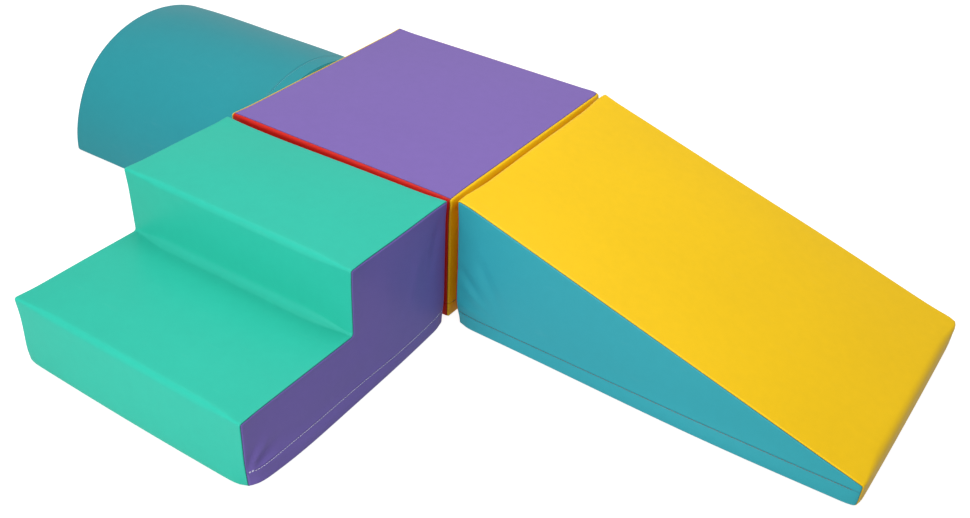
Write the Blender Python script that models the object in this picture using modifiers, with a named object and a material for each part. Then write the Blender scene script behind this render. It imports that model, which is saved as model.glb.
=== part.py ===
"""Soft play foam climber: four vinyl-covered foam modules joined in a T.

A square platform stands in the middle. Steps (-Y), a ramp (+X) and a half-round (-X)
are pressed against three of its sides and held by hook-and-loop strips.
Every module is a foam block in a sewn cover: side panels, a top or a wrap, and a grip base
with a recessed zip. Units are metres, +Z is up and the floor is z = 0.
The origin is the centre of the platform's base.

Each module is modelled in its own frame: u runs away from the platform, v runs across it.
"""

import math

import bmesh
import bpy
from mathutils import Matrix, Vector

# Platform, over its flat side planes
PLATFORM_LENGTH = 0.614
PLATFORM_WIDTH = 0.620
PLATFORM_HEIGHT = 0.305

# Steps: two treads, the upper one level with the platform
STEPS_WIDTH = 0.614
STEPS_HEIGHT = 0.314
LOWER_STEP_HEIGHT = 0.160
UPPER_TREAD = 0.305
LOWER_TREAD = 0.307
STEPS_OFFSET = 0.0075

# Ramp: a wedge with a blunt toe
RAMP_LENGTH = 0.908
RAMP_WIDTH = 0.606
RAMP_HEIGHT = 0.322
TOE_HEIGHT = 0.053
RAMP_OFFSET = -0.015

# Half-round: half a cylinder lying on its flat side
HALF_ROUND_RADIUS = 0.305
HALF_ROUND_LENGTH = 0.586
HALF_ROUND_OFFSET = -0.004

# Cover: vinyl sheet, the seams between its panels and its clearance to the foam
VINYL = 0.0012
SEAM_GAP = 0.0010
CLEARANCE = 0.0003

# Roundings of the stuffed cover
SEAM_ROUND = 0.006
BASE_ROUND = 0.006
NOSE_ROUND = 0.014
FOOT_ROUND = 0.020
RAMP_BACK_ROUND = 0.012
TOE_ROUND = 0.010
EDGE_LOOP = 0.030
ROUND_SEGMENTS = 4
ARC_SEGMENTS = 28

# Crown of the stuffed faces: how far each one bulges, and how far in its rolled border reaches
SIDE_CROWN = 0.008
TOP_CROWN = 0.004
TREAD_CROWN = 0.005
END_CROWN = 0.004
TOE_CROWN = 0.002
CROWN_REACH = 0.070
CROWN_RINGS = 3
NARROW_SHARE = 0.38
FACING_SHARE = 0.10
BORDER_SHARE = 0.40
STEPS_MIDDLE_SHARES = (0.66, 0.50)
RAMP_MIDDLE_SHARES = (0.30, 0.36)
HALF_ROUND_MIDDLE_SHARE = 0.42

# Hook-and-loop strips on the faces that meet
STRIP_WIDTH = 0.048
STRIP_THICKNESS = 0.0018
STRIP_LENGTH = 0.420
STRIP_MARGIN = 0.004

# Zip on the underside: tape with a raised channel, coil and slider
ZIP_LENGTH = 0.440
RAMP_ZIP_LENGTH = 0.700
ZIP_OFFSET = 0.120
SLOT_WIDTH = 0.018
TAPE_THICKNESS = 0.0008
TAPE_FLANGE = 0.012
TAPE_END = 0.010
CHANNEL_DEPTH = 0.0052
COIL_WIDTH = 0.0060
COIL_HEIGHT = 0.0015
SLIDER_LENGTH = 0.014
SLIDER_WALL = 0.0014
SLIDER_PLATE = 0.0018
SLIDER_PLAY = 0.0004
CUT_OVERRUN = 0.004

# Materials: colour, roughness and metallic value
FINISHES = {
    "purple_vinyl": ((0.235, 0.165, 0.470, 1.0), 0.42, 0.0),
    "red_vinyl": ((0.700, 0.040, 0.026, 1.0), 0.42, 0.0),
    "yellow_vinyl": ((0.940, 0.560, 0.018, 1.0), 0.42, 0.0),
    "green_vinyl": ((0.014, 0.520, 0.370, 1.0), 0.42, 0.0),
    "teal_vinyl": ((0.045, 0.330, 0.420, 1.0), 0.42, 0.0),
    "foam": ((0.830, 0.800, 0.700, 1.0), 0.90, 0.0),
    "grip_base": ((0.040, 0.042, 0.046, 1.0), 0.85, 0.0),
    "hook_and_loop": ((0.030, 0.030, 0.034, 1.0), 0.95, 0.0),
    "zip_tape": ((0.050, 0.050, 0.056, 1.0), 0.80, 0.0),
    "zip_coil": ((0.070, 0.070, 0.078, 1.0), 0.45, 0.0),
    "zip_metal": ((0.560, 0.550, 0.530, 1.0), 0.35, 1.0),
}

UP = Vector((0.0, 0.0, 1.0))


def clear_scene():
    """Remove the objects that the open file holds."""
    for obj in list(bpy.data.objects):
        bpy.data.objects.remove(obj, do_unlink=True)


def new_collection(name):
    """A collection linked to the scene."""
    group = bpy.data.collections.new(name)
    bpy.context.scene.collection.children.link(group)
    return group


def finish(name):
    """The Principled material of one finish, made once."""
    found = bpy.data.materials.get(name)
    if found:
        return found
    colour, roughness, metallic = FINISHES[name]
    made = bpy.data.materials.new(name)
    made.use_nodes = True
    shader = made.node_tree.nodes["Principled BSDF"]
    shader.inputs["Base Color"].default_value = colour
    shader.inputs["Roughness"].default_value = roughness
    shader.inputs["Metallic"].default_value = metallic
    return made


def add_object(name, bm, material, parent, group):
    """Turn a bmesh into a named object under its module's empty."""
    mesh = bpy.data.meshes.new(name)
    bm.to_mesh(mesh)
    bm.free()
    mesh.materials.append(finish(material))
    mesh.shade_smooth()
    mesh.set_sharp_from_angle(angle=math.radians(40))
    obj = bpy.data.objects.new(name, mesh)
    obj.parent = parent
    group.objects.link(obj)
    return obj


def add_empty(name, location, turn, group):
    """An empty that carries a module, turned about Z."""
    empty = bpy.data.objects.new(name, None)
    empty.location = location
    empty.rotation_euler = (0.0, 0.0, turn)
    empty.empty_display_size = PLATFORM_HEIGHT
    group.objects.link(empty)
    return empty


def add_cutter(name, size, centre, parent, group):
    """A box that is cut out of another object and isn't part of the model."""
    bm = bmesh.new()
    bmesh.ops.create_cube(bm, size=1.0, matrix=Matrix.Translation(centre) @ Matrix.Diagonal((*size, 1.0)))
    cutter = add_object(name, bm, "foam", parent, group)
    cutter.hide_render = True
    cutter.display_type = "WIRE"
    return cutter


def cut(obj, cutter):
    """Take the cutter out of the object."""
    boolean = obj.modifiers.new(cutter.name, "BOOLEAN")
    boolean.operation = "DIFFERENCE"
    boolean.solver = "EXACT"
    boolean.object = cutter


class Wall:
    """One flat side of a module before it is stuffed: its plane, its panel and its crown.

    reach is the width of the crown's rolled border. A side that isn't a rectangle has a middle
    instead, and its border is a share of the way from each edge to that point.
    """

    def __init__(self, panel, rank, normal, point, crown=0.0, reach=0.0, middle=None):
        self.panel = panel
        self.rank = rank
        self.normal = Vector(normal).normalized()
        self.offset = self.normal.dot(Vector(point))
        self.crown = crown
        self.reach = reach
        self.middle = middle

    def holds(self, face):
        """True for the flat face that lies in this wall's plane."""
        tolerance = CLEARANCE
        aligned = face.normal.dot(self.normal) > math.cos(math.radians(1.0))
        return aligned and abs(face.calc_center_median().dot(self.normal) - self.offset) < tolerance

    def touches(self, face):
        """True for a rounding's face that starts from this wall."""
        near = abs(face.calc_center_median().dot(self.normal) - self.offset) < FOOT_ROUND
        return near and face.normal.dot(self.normal) > FACING_SHARE


def reach_for(span):
    """The crown's rolled border on a face of this narrowest span."""
    return min(CROWN_REACH, NARROW_SHARE * span)


def round_corner(outline, index, radius):
    """Replace one corner of an outline by an arc that touches both of its edges.

    The arc's points carry the corner's own panel, without a crown; the last of them starts the
    flat edge that follows.
    """
    corner = outline[index]
    here = Vector((corner[0], corner[1]))
    before = Vector(outline[index - 1][:2]) - here
    after = Vector(outline[(index + 1) % len(outline)][:2]) - here
    half = before.angle(after) / 2
    start = before.normalized() * radius / math.tan(half)
    middle = (before.normalized() + after.normalized()).normalized() * radius / math.sin(half)
    turn = math.pi - 2 * half
    if before.cross(after) > 0.0:
        turn = -turn
    points = []
    for step in range(ROUND_SEGMENTS + 1):
        spoke = Matrix.Rotation(turn * step / ROUND_SEGMENTS, 2) @ (start - middle)
        point = here + middle + spoke
        last = step == ROUND_SEGMENTS
        points.append((point.x, point.y, 0.0) + (corner[3:] if last else corner[3:5] + (0.0, 0.0)))
    return outline[:index] + points + outline[index + 1 :]


def outline_walls(outline, width, ends, crown, reach=0.0, middle=None):
    """The walls of a prism: one for each outline edge, then its two ends.

    outline: corners as (u, z, rounding, panel, rank, crown, reach), each with the edge after it.
    ends: the panels at -v and +v; middle: their middle point as (u, z).
    """
    walls = []
    for index, corner in enumerate(outline):
        after = outline[(index + 1) % len(outline)]
        start = Vector((corner[0], 0.0, corner[1]))
        run = Vector((after[0], 0.0, after[1])) - start
        normal = Vector((-run.z, 0.0, run.x))
        walls.append(Wall(corner[3], corner[4], normal, start, corner[5], corner[6]))
    for sign, panel in zip((-1.0, 1.0), ends):
        point = Vector((0.0, sign * width / 2, 0.0))
        centre = Vector((middle[0], point.y, middle[1])) if middle else None
        walls.append(Wall(panel, 3, (0.0, sign, 0.0), point, crown, reach, centre))
    return walls


def sharp_prism(outline, width):
    """Extrude the outline across the width and mark how round each edge gets."""
    bm = bmesh.new()
    first = [bm.verts.new((corner[0], -width / 2, corner[1])) for corner in outline]
    face = bm.faces.new(first)
    made = bmesh.ops.extrude_face_region(bm, geom=[face])["geom"]
    far = [item for item in made if isinstance(item, bmesh.types.BMVert)]
    bmesh.ops.translate(bm, vec=(0.0, width, 0.0), verts=far)
    bmesh.ops.recalc_face_normals(bm, faces=bm.faces)
    weights = bm.edges.layers.float.new("bevel_weight_edge")
    rounding = {(round(corner[0], 6), round(corner[1], 6)): corner[2] for corner in outline}
    for edge in bm.edges:
        one, two = edge.verts
        along = abs(one.co.y - two.co.y) > width / 2
        on_base = max(one.co.z, two.co.z) < CLEARANCE
        if along:
            size = rounding[(round(one.co.x, 6), round(one.co.z, 6))]
        else:
            size = BASE_ROUND if on_base else SEAM_ROUND
        edge[weights] = size / FOOT_ROUND
    return bm


def rounded(name, bm, group):
    """Round the marked edges with a weighted Bevel and read the result back."""
    obj = add_object(name, bm, "foam", None, group)
    bevel = obj.modifiers.new("stuffed edges", "BEVEL")
    bevel.limit_method = "WEIGHT"
    bevel.width = FOOT_ROUND
    bevel.segments = ROUND_SEGMENTS
    bevel.use_clamp_overlap = False
    bevel.loop_slide = False
    graph = bpy.context.evaluated_depsgraph_get()
    mesh = bpy.data.meshes.new_from_object(obj.evaluated_get(graph))
    made = bmesh.new()
    made.from_mesh(mesh)
    bpy.data.objects.remove(obj, do_unlink=True)
    bpy.data.meshes.remove(mesh)
    return made


def crown_face(bm, face, wall):
    """Bulge a flat face: inset it ring by ring and lift each ring.

    The height over the rolled border is crown * (1 - (1 - s)^2), with s from 0 at the seam to 1.
    """
    height = 0.0
    for ring in range(CROWN_RINGS):
        inner = (ring + 1) / CROWN_RINGS
        target = wall.crown * (1.0 - (1.0 - inner) ** 2)
        lift = target - height
        height = target
        if wall.middle is None:
            width = wall.reach / CROWN_RINGS
            bmesh.ops.inset_individual(bm, faces=[face], thickness=width, depth=lift, use_even_offset=True)
            continue
        face = bmesh.ops.extrude_discrete_faces(bm, faces=[face])["faces"][0]
        before = BORDER_SHARE * ring / CROWN_RINGS
        step = (BORDER_SHARE * inner - before) / (1.0 - before)
        for vert in face.verts:
            away = wall.middle - vert.co
            away -= wall.normal * away.dot(wall.normal)
            vert.co += away * step + wall.normal * lift


def module_form(name, outline, walls, width, group):
    """The stuffed outer shape of one module, each face marked with its panel's number."""
    bm = rounded(name, sharp_prism(outline, width), group)
    panels = sorted({wall.panel for wall in walls})
    flat = []
    for face in bm.faces:
        here = [wall for wall in walls if wall.holds(face)]
        near = here or [wall for wall in walls if wall.touches(face)]
        best = max(near, key=lambda wall: wall.rank)
        face.material_index = panels.index(best.panel)
        if here and best.crown:
            flat.append((face, best))
    for face, wall in flat:
        crown_face(bm, face, wall)
    for sign in (-1.0, 1.0):
        plane = (0.0, sign * (width / 2 - EDGE_LOOP), 0.0)
        bmesh.ops.bisect_plane(
            bm, geom=bm.verts[:] + bm.edges[:] + bm.faces[:], plane_co=plane, plane_no=(0.0, 1.0, 0.0)
        )
    return bm, panels


def draw_back(bm, distance):
    """Move the open border of a surface inward along the surface, mitred at its corners."""
    inward = {}
    for edge in bm.edges:
        if not edge.is_boundary:
            continue
        face = edge.link_faces[0]
        start = edge.verts[0].co
        across = face.normal.cross(edge.verts[1].co - start).normalized()
        if across.dot(face.calc_center_median() - start) < 0.0:
            across.negate()
        for vert in edge.verts:
            inward[vert] = inward.get(vert, Vector()) + across
    for vert, total in inward.items():
        vert.co += total * (2 * distance / total.length_squared)


def cover_panel(name, form, number, material, parent, group):
    """One sewn panel: its faces of the form, drawn back from the seams and given a thickness."""
    bm = form.copy()
    others = [face for face in bm.faces if face.material_index != number]
    bmesh.ops.delete(bm, geom=others, context="FACES")
    draw_back(bm, SEAM_GAP / 2)
    for face in bm.faces:
        face.material_index = 0
    panel = add_object(name, bm, material, parent, group)
    solid = panel.modifiers.new("vinyl", "SOLIDIFY")
    solid.thickness = VINYL
    solid.offset = -1.0
    return panel


def foam_core(name, form, parent, group):
    """The foam block: the form drawn in by the vinyl and a clearance."""
    bm = form.copy()
    bm.normal_update()
    moves = [vert.normal * vert.calc_shell_factor() for vert in bm.verts]
    for vert, move in zip(bm.verts, moves):
        vert.co -= move * (VINYL + CLEARANCE)
    for face in bm.faces:
        face.material_index = 0
    return add_object(name, bm, "foam", parent, group)


def extrude_section(section, start, length):
    """A (v, z) section swept along u."""
    bm = bmesh.new()
    face = bm.faces.new([bm.verts.new((start, v, z)) for v, z in section])
    made = bmesh.ops.extrude_face_region(bm, geom=[face])["geom"]
    far = [item for item in made if isinstance(item, bmesh.types.BMVert)]
    bmesh.ops.translate(bm, vec=(length, 0.0, 0.0), verts=far)
    bmesh.ops.recalc_face_normals(bm, faces=bm.faces)
    return bm


def add_zip(prefix, base, core, middle, length, parent, group, cutters):
    """Zip in the base panel: slot, groove in the foam, tape, coil and slider.

    The tape's flanges lie on the panel and its raised channel keeps the slider off the floor.
    """
    v = -ZIP_OFFSET
    start = middle - length / 2
    channel = SLOT_WIDTH / 2
    flange_z = VINYL + CLEARANCE
    roof_z = flange_z + CHANNEL_DEPTH
    outer = channel + TAPE_THICKNESS
    wing = outer + TAPE_FLANGE
    slot_size = (length, SLOT_WIDTH, 2 * CUT_OVERRUN)
    slot_centre = Vector((middle, v, 0.0))
    cut(base, add_cutter(prefix + "_slot_cutter", slot_size, slot_centre, parent, cutters))
    groove_top = roof_z + TAPE_THICKNESS + CLEARANCE
    groove_length = length + 2 * (TAPE_END + CLEARANCE)
    groove_size = (groove_length, 2 * (wing + CLEARANCE), groove_top + CUT_OVERRUN)
    groove_centre = Vector((middle, v, (groove_top - CUT_OVERRUN) / 2))
    cut(core, add_cutter(prefix + "_groove_cutter", groove_size, groove_centre, parent, cutters))

    half = [
        (wing, flange_z),
        (wing, flange_z + TAPE_THICKNESS),
        (outer, flange_z + TAPE_THICKNESS),
        (outer, roof_z + TAPE_THICKNESS),
    ]
    inner = [(channel, roof_z), (channel, flange_z)]
    right = [(v + y, z) for y, z in half]
    left = [(v - y, z) for y, z in reversed(half)]
    roof = [(v - y, z) for y, z in reversed(inner)] + [(v + y, z) for y, z in inner]
    bm = extrude_section(right + left + roof, start - TAPE_END, length + 2 * TAPE_END)
    add_object(prefix + "_zip_tape", bm, "zip_tape", parent, group)

    coil_top = roof_z - CLEARANCE
    coil_low = coil_top - COIL_HEIGHT
    bevelled = COIL_HEIGHT / 3
    coil = [
        (v - COIL_WIDTH / 2, coil_top),
        (v - COIL_WIDTH / 2, coil_low + bevelled),
        (v - COIL_WIDTH / 2 + bevelled, coil_low),
        (v + COIL_WIDTH / 2 - bevelled, coil_low),
        (v + COIL_WIDTH / 2, coil_low + bevelled),
        (v + COIL_WIDTH / 2, coil_top),
    ]
    add_object(prefix + "_zip_coil", extrude_section(coil, start, length), "zip_coil", parent, group)

    slide = add_empty(prefix + "_slider_axis", (start + SLIDER_LENGTH, v, 0.0), 0.0, group)
    slide.parent = parent
    wall_in = COIL_WIDTH / 2 + SLIDER_PLAY
    wall_out = wall_in + SLIDER_WALL
    plate_top = coil_low - SLIDER_PLAY
    plate_low = plate_top - SLIDER_PLATE
    wall_top = coil_top - CLEARANCE
    shoe = [
        (-wall_out, plate_low),
        (wall_out, plate_low),
        (wall_out, wall_top),
        (wall_in, wall_top),
        (wall_in, plate_top),
        (-wall_in, plate_top),
        (-wall_in, wall_top),
        (-wall_out, wall_top),
    ]
    bm = extrude_section(shoe, -SLIDER_LENGTH / 2, SLIDER_LENGTH)
    add_object(prefix + "_zip_slider", bm, "zip_metal", slide, group)


def add_strips(name, rows, face_u, face_v, outward, parent, group):
    """Hook or loop strips on a face's flat middle, one object for each row.

    rows: each strip's place, its height above the floor and its length; face_u, face_v: the
    face's middle; outward: the way the face looks.
    """
    away = Vector(outward)
    across = away.cross(UP)
    turn = Matrix((across, away, UP)).transposed().to_4x4()
    lift = CLEARANCE + STRIP_THICKNESS / 2
    for place, height, length in rows:
        centre = Vector((face_u, face_v, height)) + away * lift
        size = Matrix.Diagonal((length, STRIP_THICKNESS, STRIP_WIDTH, 1.0))
        bm = bmesh.new()
        bmesh.ops.create_cube(bm, size=1.0, matrix=Matrix.Translation(centre) @ turn @ size)
        add_object(name + place, bm, "hook_and_loop", parent, group)


def strip_rows(height):
    """Two strips within the flat middle of a joining face."""
    low = BASE_ROUND + CROWN_REACH + STRIP_MARGIN + STRIP_WIDTH / 2
    high = height - SEAM_ROUND - CROWN_REACH - STRIP_MARGIN - STRIP_WIDTH / 2
    return [("_lower", low, STRIP_LENGTH), ("_upper", high, STRIP_LENGTH)]


def round_end_row():
    """The one strip that fits the flat middle of the half-round's end."""
    middle = HALF_ROUND_MIDDLE_SHARE * HALF_ROUND_RADIUS
    kept = 1.0 - BORDER_SHARE
    top = middle + STRIP_WIDTH / 2
    edge = middle + (top - middle) / kept
    radius = HALF_ROUND_RADIUS - SEAM_ROUND
    half = kept * math.sqrt(radius * radius - edge * edge) - STRIP_MARGIN
    return [("", middle, 2 * half)]


def cover(prefix, form, panels, colours, parent, group):
    """All panels of one cover, by panel name."""
    made = {}
    for number, panel in enumerate(panels):
        name = prefix + "_" + panel
        made[panel] = cover_panel(name, form, number, colours[panel], parent, group)
    return made


def build_platform(group, cutters):
    """Square platform: purple top, red front and back, yellow sides."""
    parent = add_empty("platform_place", (0.0, 0.0, 0.0), 0.0, group)
    half = PLATFORM_LENGTH / 2
    reach = reach_for(PLATFORM_HEIGHT - BASE_ROUND - SEAM_ROUND)
    outline = [
        (-half, 0.0, BASE_ROUND, "left_panel", 4, SIDE_CROWN, reach),
        (-half, PLATFORM_HEIGHT, SEAM_ROUND, "top_panel", 1, TOP_CROWN, CROWN_REACH),
        (half, PLATFORM_HEIGHT, SEAM_ROUND, "right_panel", 4, SIDE_CROWN, reach),
        (half, 0.0, BASE_ROUND, "base_panel", 0, 0.0, 0.0),
    ]
    walls = outline_walls(outline, PLATFORM_WIDTH, ("front_panel", "back_panel"), SIDE_CROWN, reach)
    form, panels = module_form("platform_form", outline, walls, PLATFORM_WIDTH, group)
    colours = {
        "left_panel": "yellow_vinyl",
        "right_panel": "yellow_vinyl",
        "front_panel": "red_vinyl",
        "back_panel": "red_vinyl",
        "top_panel": "purple_vinyl",
        "base_panel": "grip_base",
    }
    made = cover("platform", form, panels, colours, parent, group)
    core = foam_core("platform_foam_core", form, parent, group)
    add_zip("platform", made["base_panel"], core, 0.0, ZIP_LENGTH, parent, group, cutters)
    form.free()

    face = half + SIDE_CROWN
    rows = strip_rows(PLATFORM_HEIGHT)
    front = PLATFORM_WIDTH / 2 + SIDE_CROWN
    add_strips("platform_steps_loop_strip", rows, 0.0, -front, (0, -1, 0), parent, group)
    add_strips("platform_ramp_loop_strip", rows, face, 0.0, (1, 0, 0), parent, group)
    rows = round_end_row()
    add_strips("platform_half_round_loop_strip", rows, -face, 0.0, (-1, 0, 0), parent, group)


def joint_gap(crown):
    """Distance between the flat planes of the platform and of a module pressed against it."""
    return SIDE_CROWN + crown + 2 * STRIP_THICKNESS + 3 * CLEARANCE


def build_steps(group, cutters):
    """Two steps: one green wrap over the risers and treads, purple sides, red back."""
    place = (STEPS_OFFSET, -(PLATFORM_WIDTH / 2 + joint_gap(SIDE_CROWN)), 0.0)
    parent = add_empty("steps_place", place, -math.pi / 2, group)
    depth = UPPER_TREAD + LOWER_TREAD
    back_reach = reach_for(PLATFORM_HEIGHT - BASE_ROUND - SEAM_ROUND)
    upper_reach = reach_for(UPPER_TREAD - SEAM_ROUND - NOSE_ROUND)
    riser_reach = reach_for(STEPS_HEIGHT - LOWER_STEP_HEIGHT - NOSE_ROUND - FOOT_ROUND)
    lower_reach = reach_for(LOWER_TREAD - FOOT_ROUND - NOSE_ROUND)
    front_reach = reach_for(LOWER_STEP_HEIGHT - NOSE_ROUND - BASE_ROUND)
    outline = [
        (0.0, 0.0, BASE_ROUND, "back_panel", 1, SIDE_CROWN, back_reach),
        (0.0, STEPS_HEIGHT, SEAM_ROUND, "wrap_panel", 2, TREAD_CROWN, upper_reach),
        (UPPER_TREAD, STEPS_HEIGHT, 0.0, "wrap_panel", 2, TREAD_CROWN, riser_reach),
        (UPPER_TREAD, LOWER_STEP_HEIGHT, 0.0, "wrap_panel", 2, TREAD_CROWN, lower_reach),
        (depth, LOWER_STEP_HEIGHT, 0.0, "wrap_panel", 2, TREAD_CROWN, front_reach),
        (depth, 0.0, BASE_ROUND, "base_panel", 0, 0.0, 0.0),
    ]
    for index, radius in ((4, NOSE_ROUND), (3, FOOT_ROUND), (2, NOSE_ROUND)):
        outline = round_corner(outline, index, radius)
    # Seen from the front, the end at +v is the right side
    middle = (STEPS_MIDDLE_SHARES[0] * UPPER_TREAD, STEPS_MIDDLE_SHARES[1] * LOWER_STEP_HEIGHT)
    ends = ("left_panel", "right_panel")
    walls = outline_walls(outline, STEPS_WIDTH, ends, SIDE_CROWN, middle=middle)
    form, panels = module_form("steps_form", outline, walls, STEPS_WIDTH, group)
    colours = {
        "wrap_panel": "green_vinyl",
        "left_panel": "purple_vinyl",
        "right_panel": "purple_vinyl",
        "back_panel": "red_vinyl",
        "base_panel": "grip_base",
    }
    made = cover("steps", form, panels, colours, parent, group)
    core = foam_core("steps_foam_core", form, parent, group)
    add_zip("steps", made["base_panel"], core, depth / 2, ZIP_LENGTH, parent, group, cutters)
    form.free()
    rows = strip_rows(PLATFORM_HEIGHT)
    add_strips("steps_hook_strip", rows, -SIDE_CROWN, 0.0, (-1, 0, 0), parent, group)


def build_ramp(group, cutters):
    """Ramp: one yellow panel down the slope and over the toe, teal sides, red back."""
    place = (PLATFORM_LENGTH / 2 + joint_gap(SIDE_CROWN), RAMP_OFFSET, 0.0)
    parent = add_empty("ramp_place", place, 0.0, group)
    back_reach = reach_for(PLATFORM_HEIGHT - BASE_ROUND - SEAM_ROUND)
    toe_flat = TOE_HEIGHT - BASE_ROUND - TOE_ROUND
    outline = [
        (0.0, 0.0, BASE_ROUND, "back_panel", 1, SIDE_CROWN, back_reach),
        (0.0, RAMP_HEIGHT, RAMP_BACK_ROUND, "slope_panel", 2, TREAD_CROWN, CROWN_REACH),
        (RAMP_LENGTH, TOE_HEIGHT, TOE_ROUND, "slope_panel", 2, TOE_CROWN, reach_for(toe_flat)),
        (RAMP_LENGTH, 0.0, BASE_ROUND, "base_panel", 0, 0.0, 0.0),
    ]
    middle = (RAMP_MIDDLE_SHARES[0] * RAMP_LENGTH, RAMP_MIDDLE_SHARES[1] * RAMP_HEIGHT)
    ends = ("near_side_panel", "far_side_panel")
    walls = outline_walls(outline, RAMP_WIDTH, ends, SIDE_CROWN, middle=middle)
    form, panels = module_form("ramp_form", outline, walls, RAMP_WIDTH, group)
    colours = {
        "slope_panel": "yellow_vinyl",
        "near_side_panel": "teal_vinyl",
        "far_side_panel": "teal_vinyl",
        "back_panel": "red_vinyl",
        "base_panel": "grip_base",
    }
    made = cover("ramp", form, panels, colours, parent, group)
    core = foam_core("ramp_foam_core", form, parent, group)
    add_zip("ramp", made["base_panel"], core, RAMP_LENGTH / 2, RAMP_ZIP_LENGTH, parent, group, cutters)
    form.free()
    rows = strip_rows(PLATFORM_HEIGHT)
    add_strips("ramp_hook_strip", rows, -SIDE_CROWN, 0.0, (-1, 0, 0), parent, group)


def build_half_round(group, cutters):
    """Half-round: a curved panel over half a cylinder, with an end panel at each end."""
    gap = joint_gap(END_CROWN)
    middle = -(PLATFORM_LENGTH / 2 + gap + HALF_ROUND_LENGTH / 2)
    # Its outline stands across the platform's side, so the frame is turned a quarter
    parent = add_empty("half_round_place", (middle, HALF_ROUND_OFFSET, 0.0), math.pi / 2, group)
    outline = []
    for step in range(ARC_SEGMENTS + 1):
        angle = math.pi * (1 - step / ARC_SEGMENTS)
        u = HALF_ROUND_RADIUS * math.cos(angle)
        z = HALF_ROUND_RADIUS * math.sin(angle)
        last = step == ARC_SEGMENTS
        low = step == 0 or last
        panel = "base_panel" if last else "curved_panel"
        rank = 0 if last else 1
        outline.append((u, 0.0 if low else z, BASE_ROUND if low else 0.0, panel, rank, 0.0, 0.0))
    ends = ("near_end_panel", "far_end_panel")
    middle = (0.0, HALF_ROUND_MIDDLE_SHARE * HALF_ROUND_RADIUS)
    walls = outline_walls(outline, HALF_ROUND_LENGTH, ends, END_CROWN, middle=middle)
    form, panels = module_form("half_round_form", outline, walls, HALF_ROUND_LENGTH, group)
    colours = {
        "curved_panel": "teal_vinyl",
        "near_end_panel": "teal_vinyl",
        "far_end_panel": "teal_vinyl",
        "base_panel": "grip_base",
    }
    made = cover("half_round", form, panels, colours, parent, group)
    core = foam_core("half_round_foam_core", form, parent, group)
    add_zip("half_round", made["base_panel"], core, 0.0, ZIP_LENGTH, parent, group, cutters)
    form.free()
    rows = round_end_row()
    face = -(HALF_ROUND_LENGTH / 2 + END_CROWN)
    add_strips("half_round_hook_strip", rows, 0.0, face, (0, -1, 0), parent, group)


def main():
    clear_scene()
    group = new_collection("soft_play_climber")
    cutters = new_collection("cutters")
    build_platform(group, cutters)
    build_steps(group, cutters)
    build_ramp(group, cutters)
    build_half_round(group, cutters)


main()
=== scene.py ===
"""Soft play foam climber: the looks of its four vinyl-covered foam modules.

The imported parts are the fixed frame. Every panel of a cover is cut from one stuffed form, a closed
surface of two parameters, so that the panels meet along their seams around the foam block.
Lengths are metres, +Z is up and the floor is z = 0.
"""

import math

import bpy
import numpy as np
from bpy.props import FloatProperty, FloatVectorProperty, PointerProperty
from mathutils import Matrix, Vector


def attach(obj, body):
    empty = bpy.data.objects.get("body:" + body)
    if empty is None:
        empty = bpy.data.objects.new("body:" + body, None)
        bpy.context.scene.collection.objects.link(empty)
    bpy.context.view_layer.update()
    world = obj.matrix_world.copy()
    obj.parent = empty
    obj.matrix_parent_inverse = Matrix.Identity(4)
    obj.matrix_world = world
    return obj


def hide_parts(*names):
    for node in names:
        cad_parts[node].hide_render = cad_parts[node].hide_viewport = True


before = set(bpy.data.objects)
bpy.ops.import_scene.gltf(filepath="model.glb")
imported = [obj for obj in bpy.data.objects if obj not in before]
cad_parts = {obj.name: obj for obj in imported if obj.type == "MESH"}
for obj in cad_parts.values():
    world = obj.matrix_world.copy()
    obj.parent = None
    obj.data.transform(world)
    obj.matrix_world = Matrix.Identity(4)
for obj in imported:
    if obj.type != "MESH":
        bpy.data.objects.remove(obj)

bl_info = {
    "name": "Soft play foam climber",
    "version": (1, 0, 0),
    "blender": (4, 5, 0),
    "location": "3D View > Sidebar > Climber",
    "description": "Builds four vinyl-covered foam modules, their seams, fastenings, zips and a studio",
    "category": "Object",
}

MM = 0.001
GRID_STEP = 0.012  # between the lines of a panel's mesh
END_STEP = 0.007  # between the spokes of an end panel's mesh
FOAM_STEP = 0.030  # between those of a foam block
BASE_STEP = 0.020  # between those of a base panel
LINE_STEP = 0.004  # between the points of a stitch line
ROW_GAP = 0.0006  # least distance of two rows round the outline
FINEST = 0.0002  # least distance of two lines beside a seam
FOOT_SPAN = 0.03  # stretch of the outline at the floor with finer rows
FOOT_STEP = 0.003  # between those rows
SEAM_CLEAR = 0.010  # from a seam to the first even line
CUT_CLEAR = 0.002  # from the edge of the slot to the next line of the base
SOFT_ARC = 0.007  # arcs over this radius are sharper at the side seams
TURN_HEIGHT = 50 * MM  # where a side seam has gone round to its full turn
FREE_REACH = 0.72  # rolled border of a wall that stands free, as a share of its half-width
RELIEF = 0.35 * MM  # unevenness of the stuffed covers
STRIP_THICK = 0.0018  # one hook-and-loop strip
STRIP_SLIT = 0.0003  # between two strips, and behind each
STRIP_SHARP_DEGREES = 60  # a strip's edges stay sharp over this angle
STRIP_GROOVE = 3.2 * MM  # from a strip's edge to its stitches
THREAD_ROOT = 0.002  # depth of the point that a stitch stands away from
TACK_LENGTH = 0.013  # a bar tack's row of stitches
TACK_INSET = 0.005  # from the nose to a bar tack
TACK_RISES = (0.001, 0.0025)  # its two rows above the stitch line
SHARP_DEGREES = 50  # a block's and a base's edges stay sharp over this angle
ZIP_CLEARANCE = 0.022  # by which the foam's groove is longer than the zip
GREY = (0.5, 0.5, 0.5, 1.0)
WHITE = (1.0, 1.0, 1.0, 1.0)
CAMERA_PLACE = (1.4475, -1.9249, 1.5355)
CAMERA_FORWARD = (-0.4473125, 0.68834655, -0.57104339)
CAMERA_UP = (-0.34596756, 0.45560591, 0.82020102)


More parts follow.
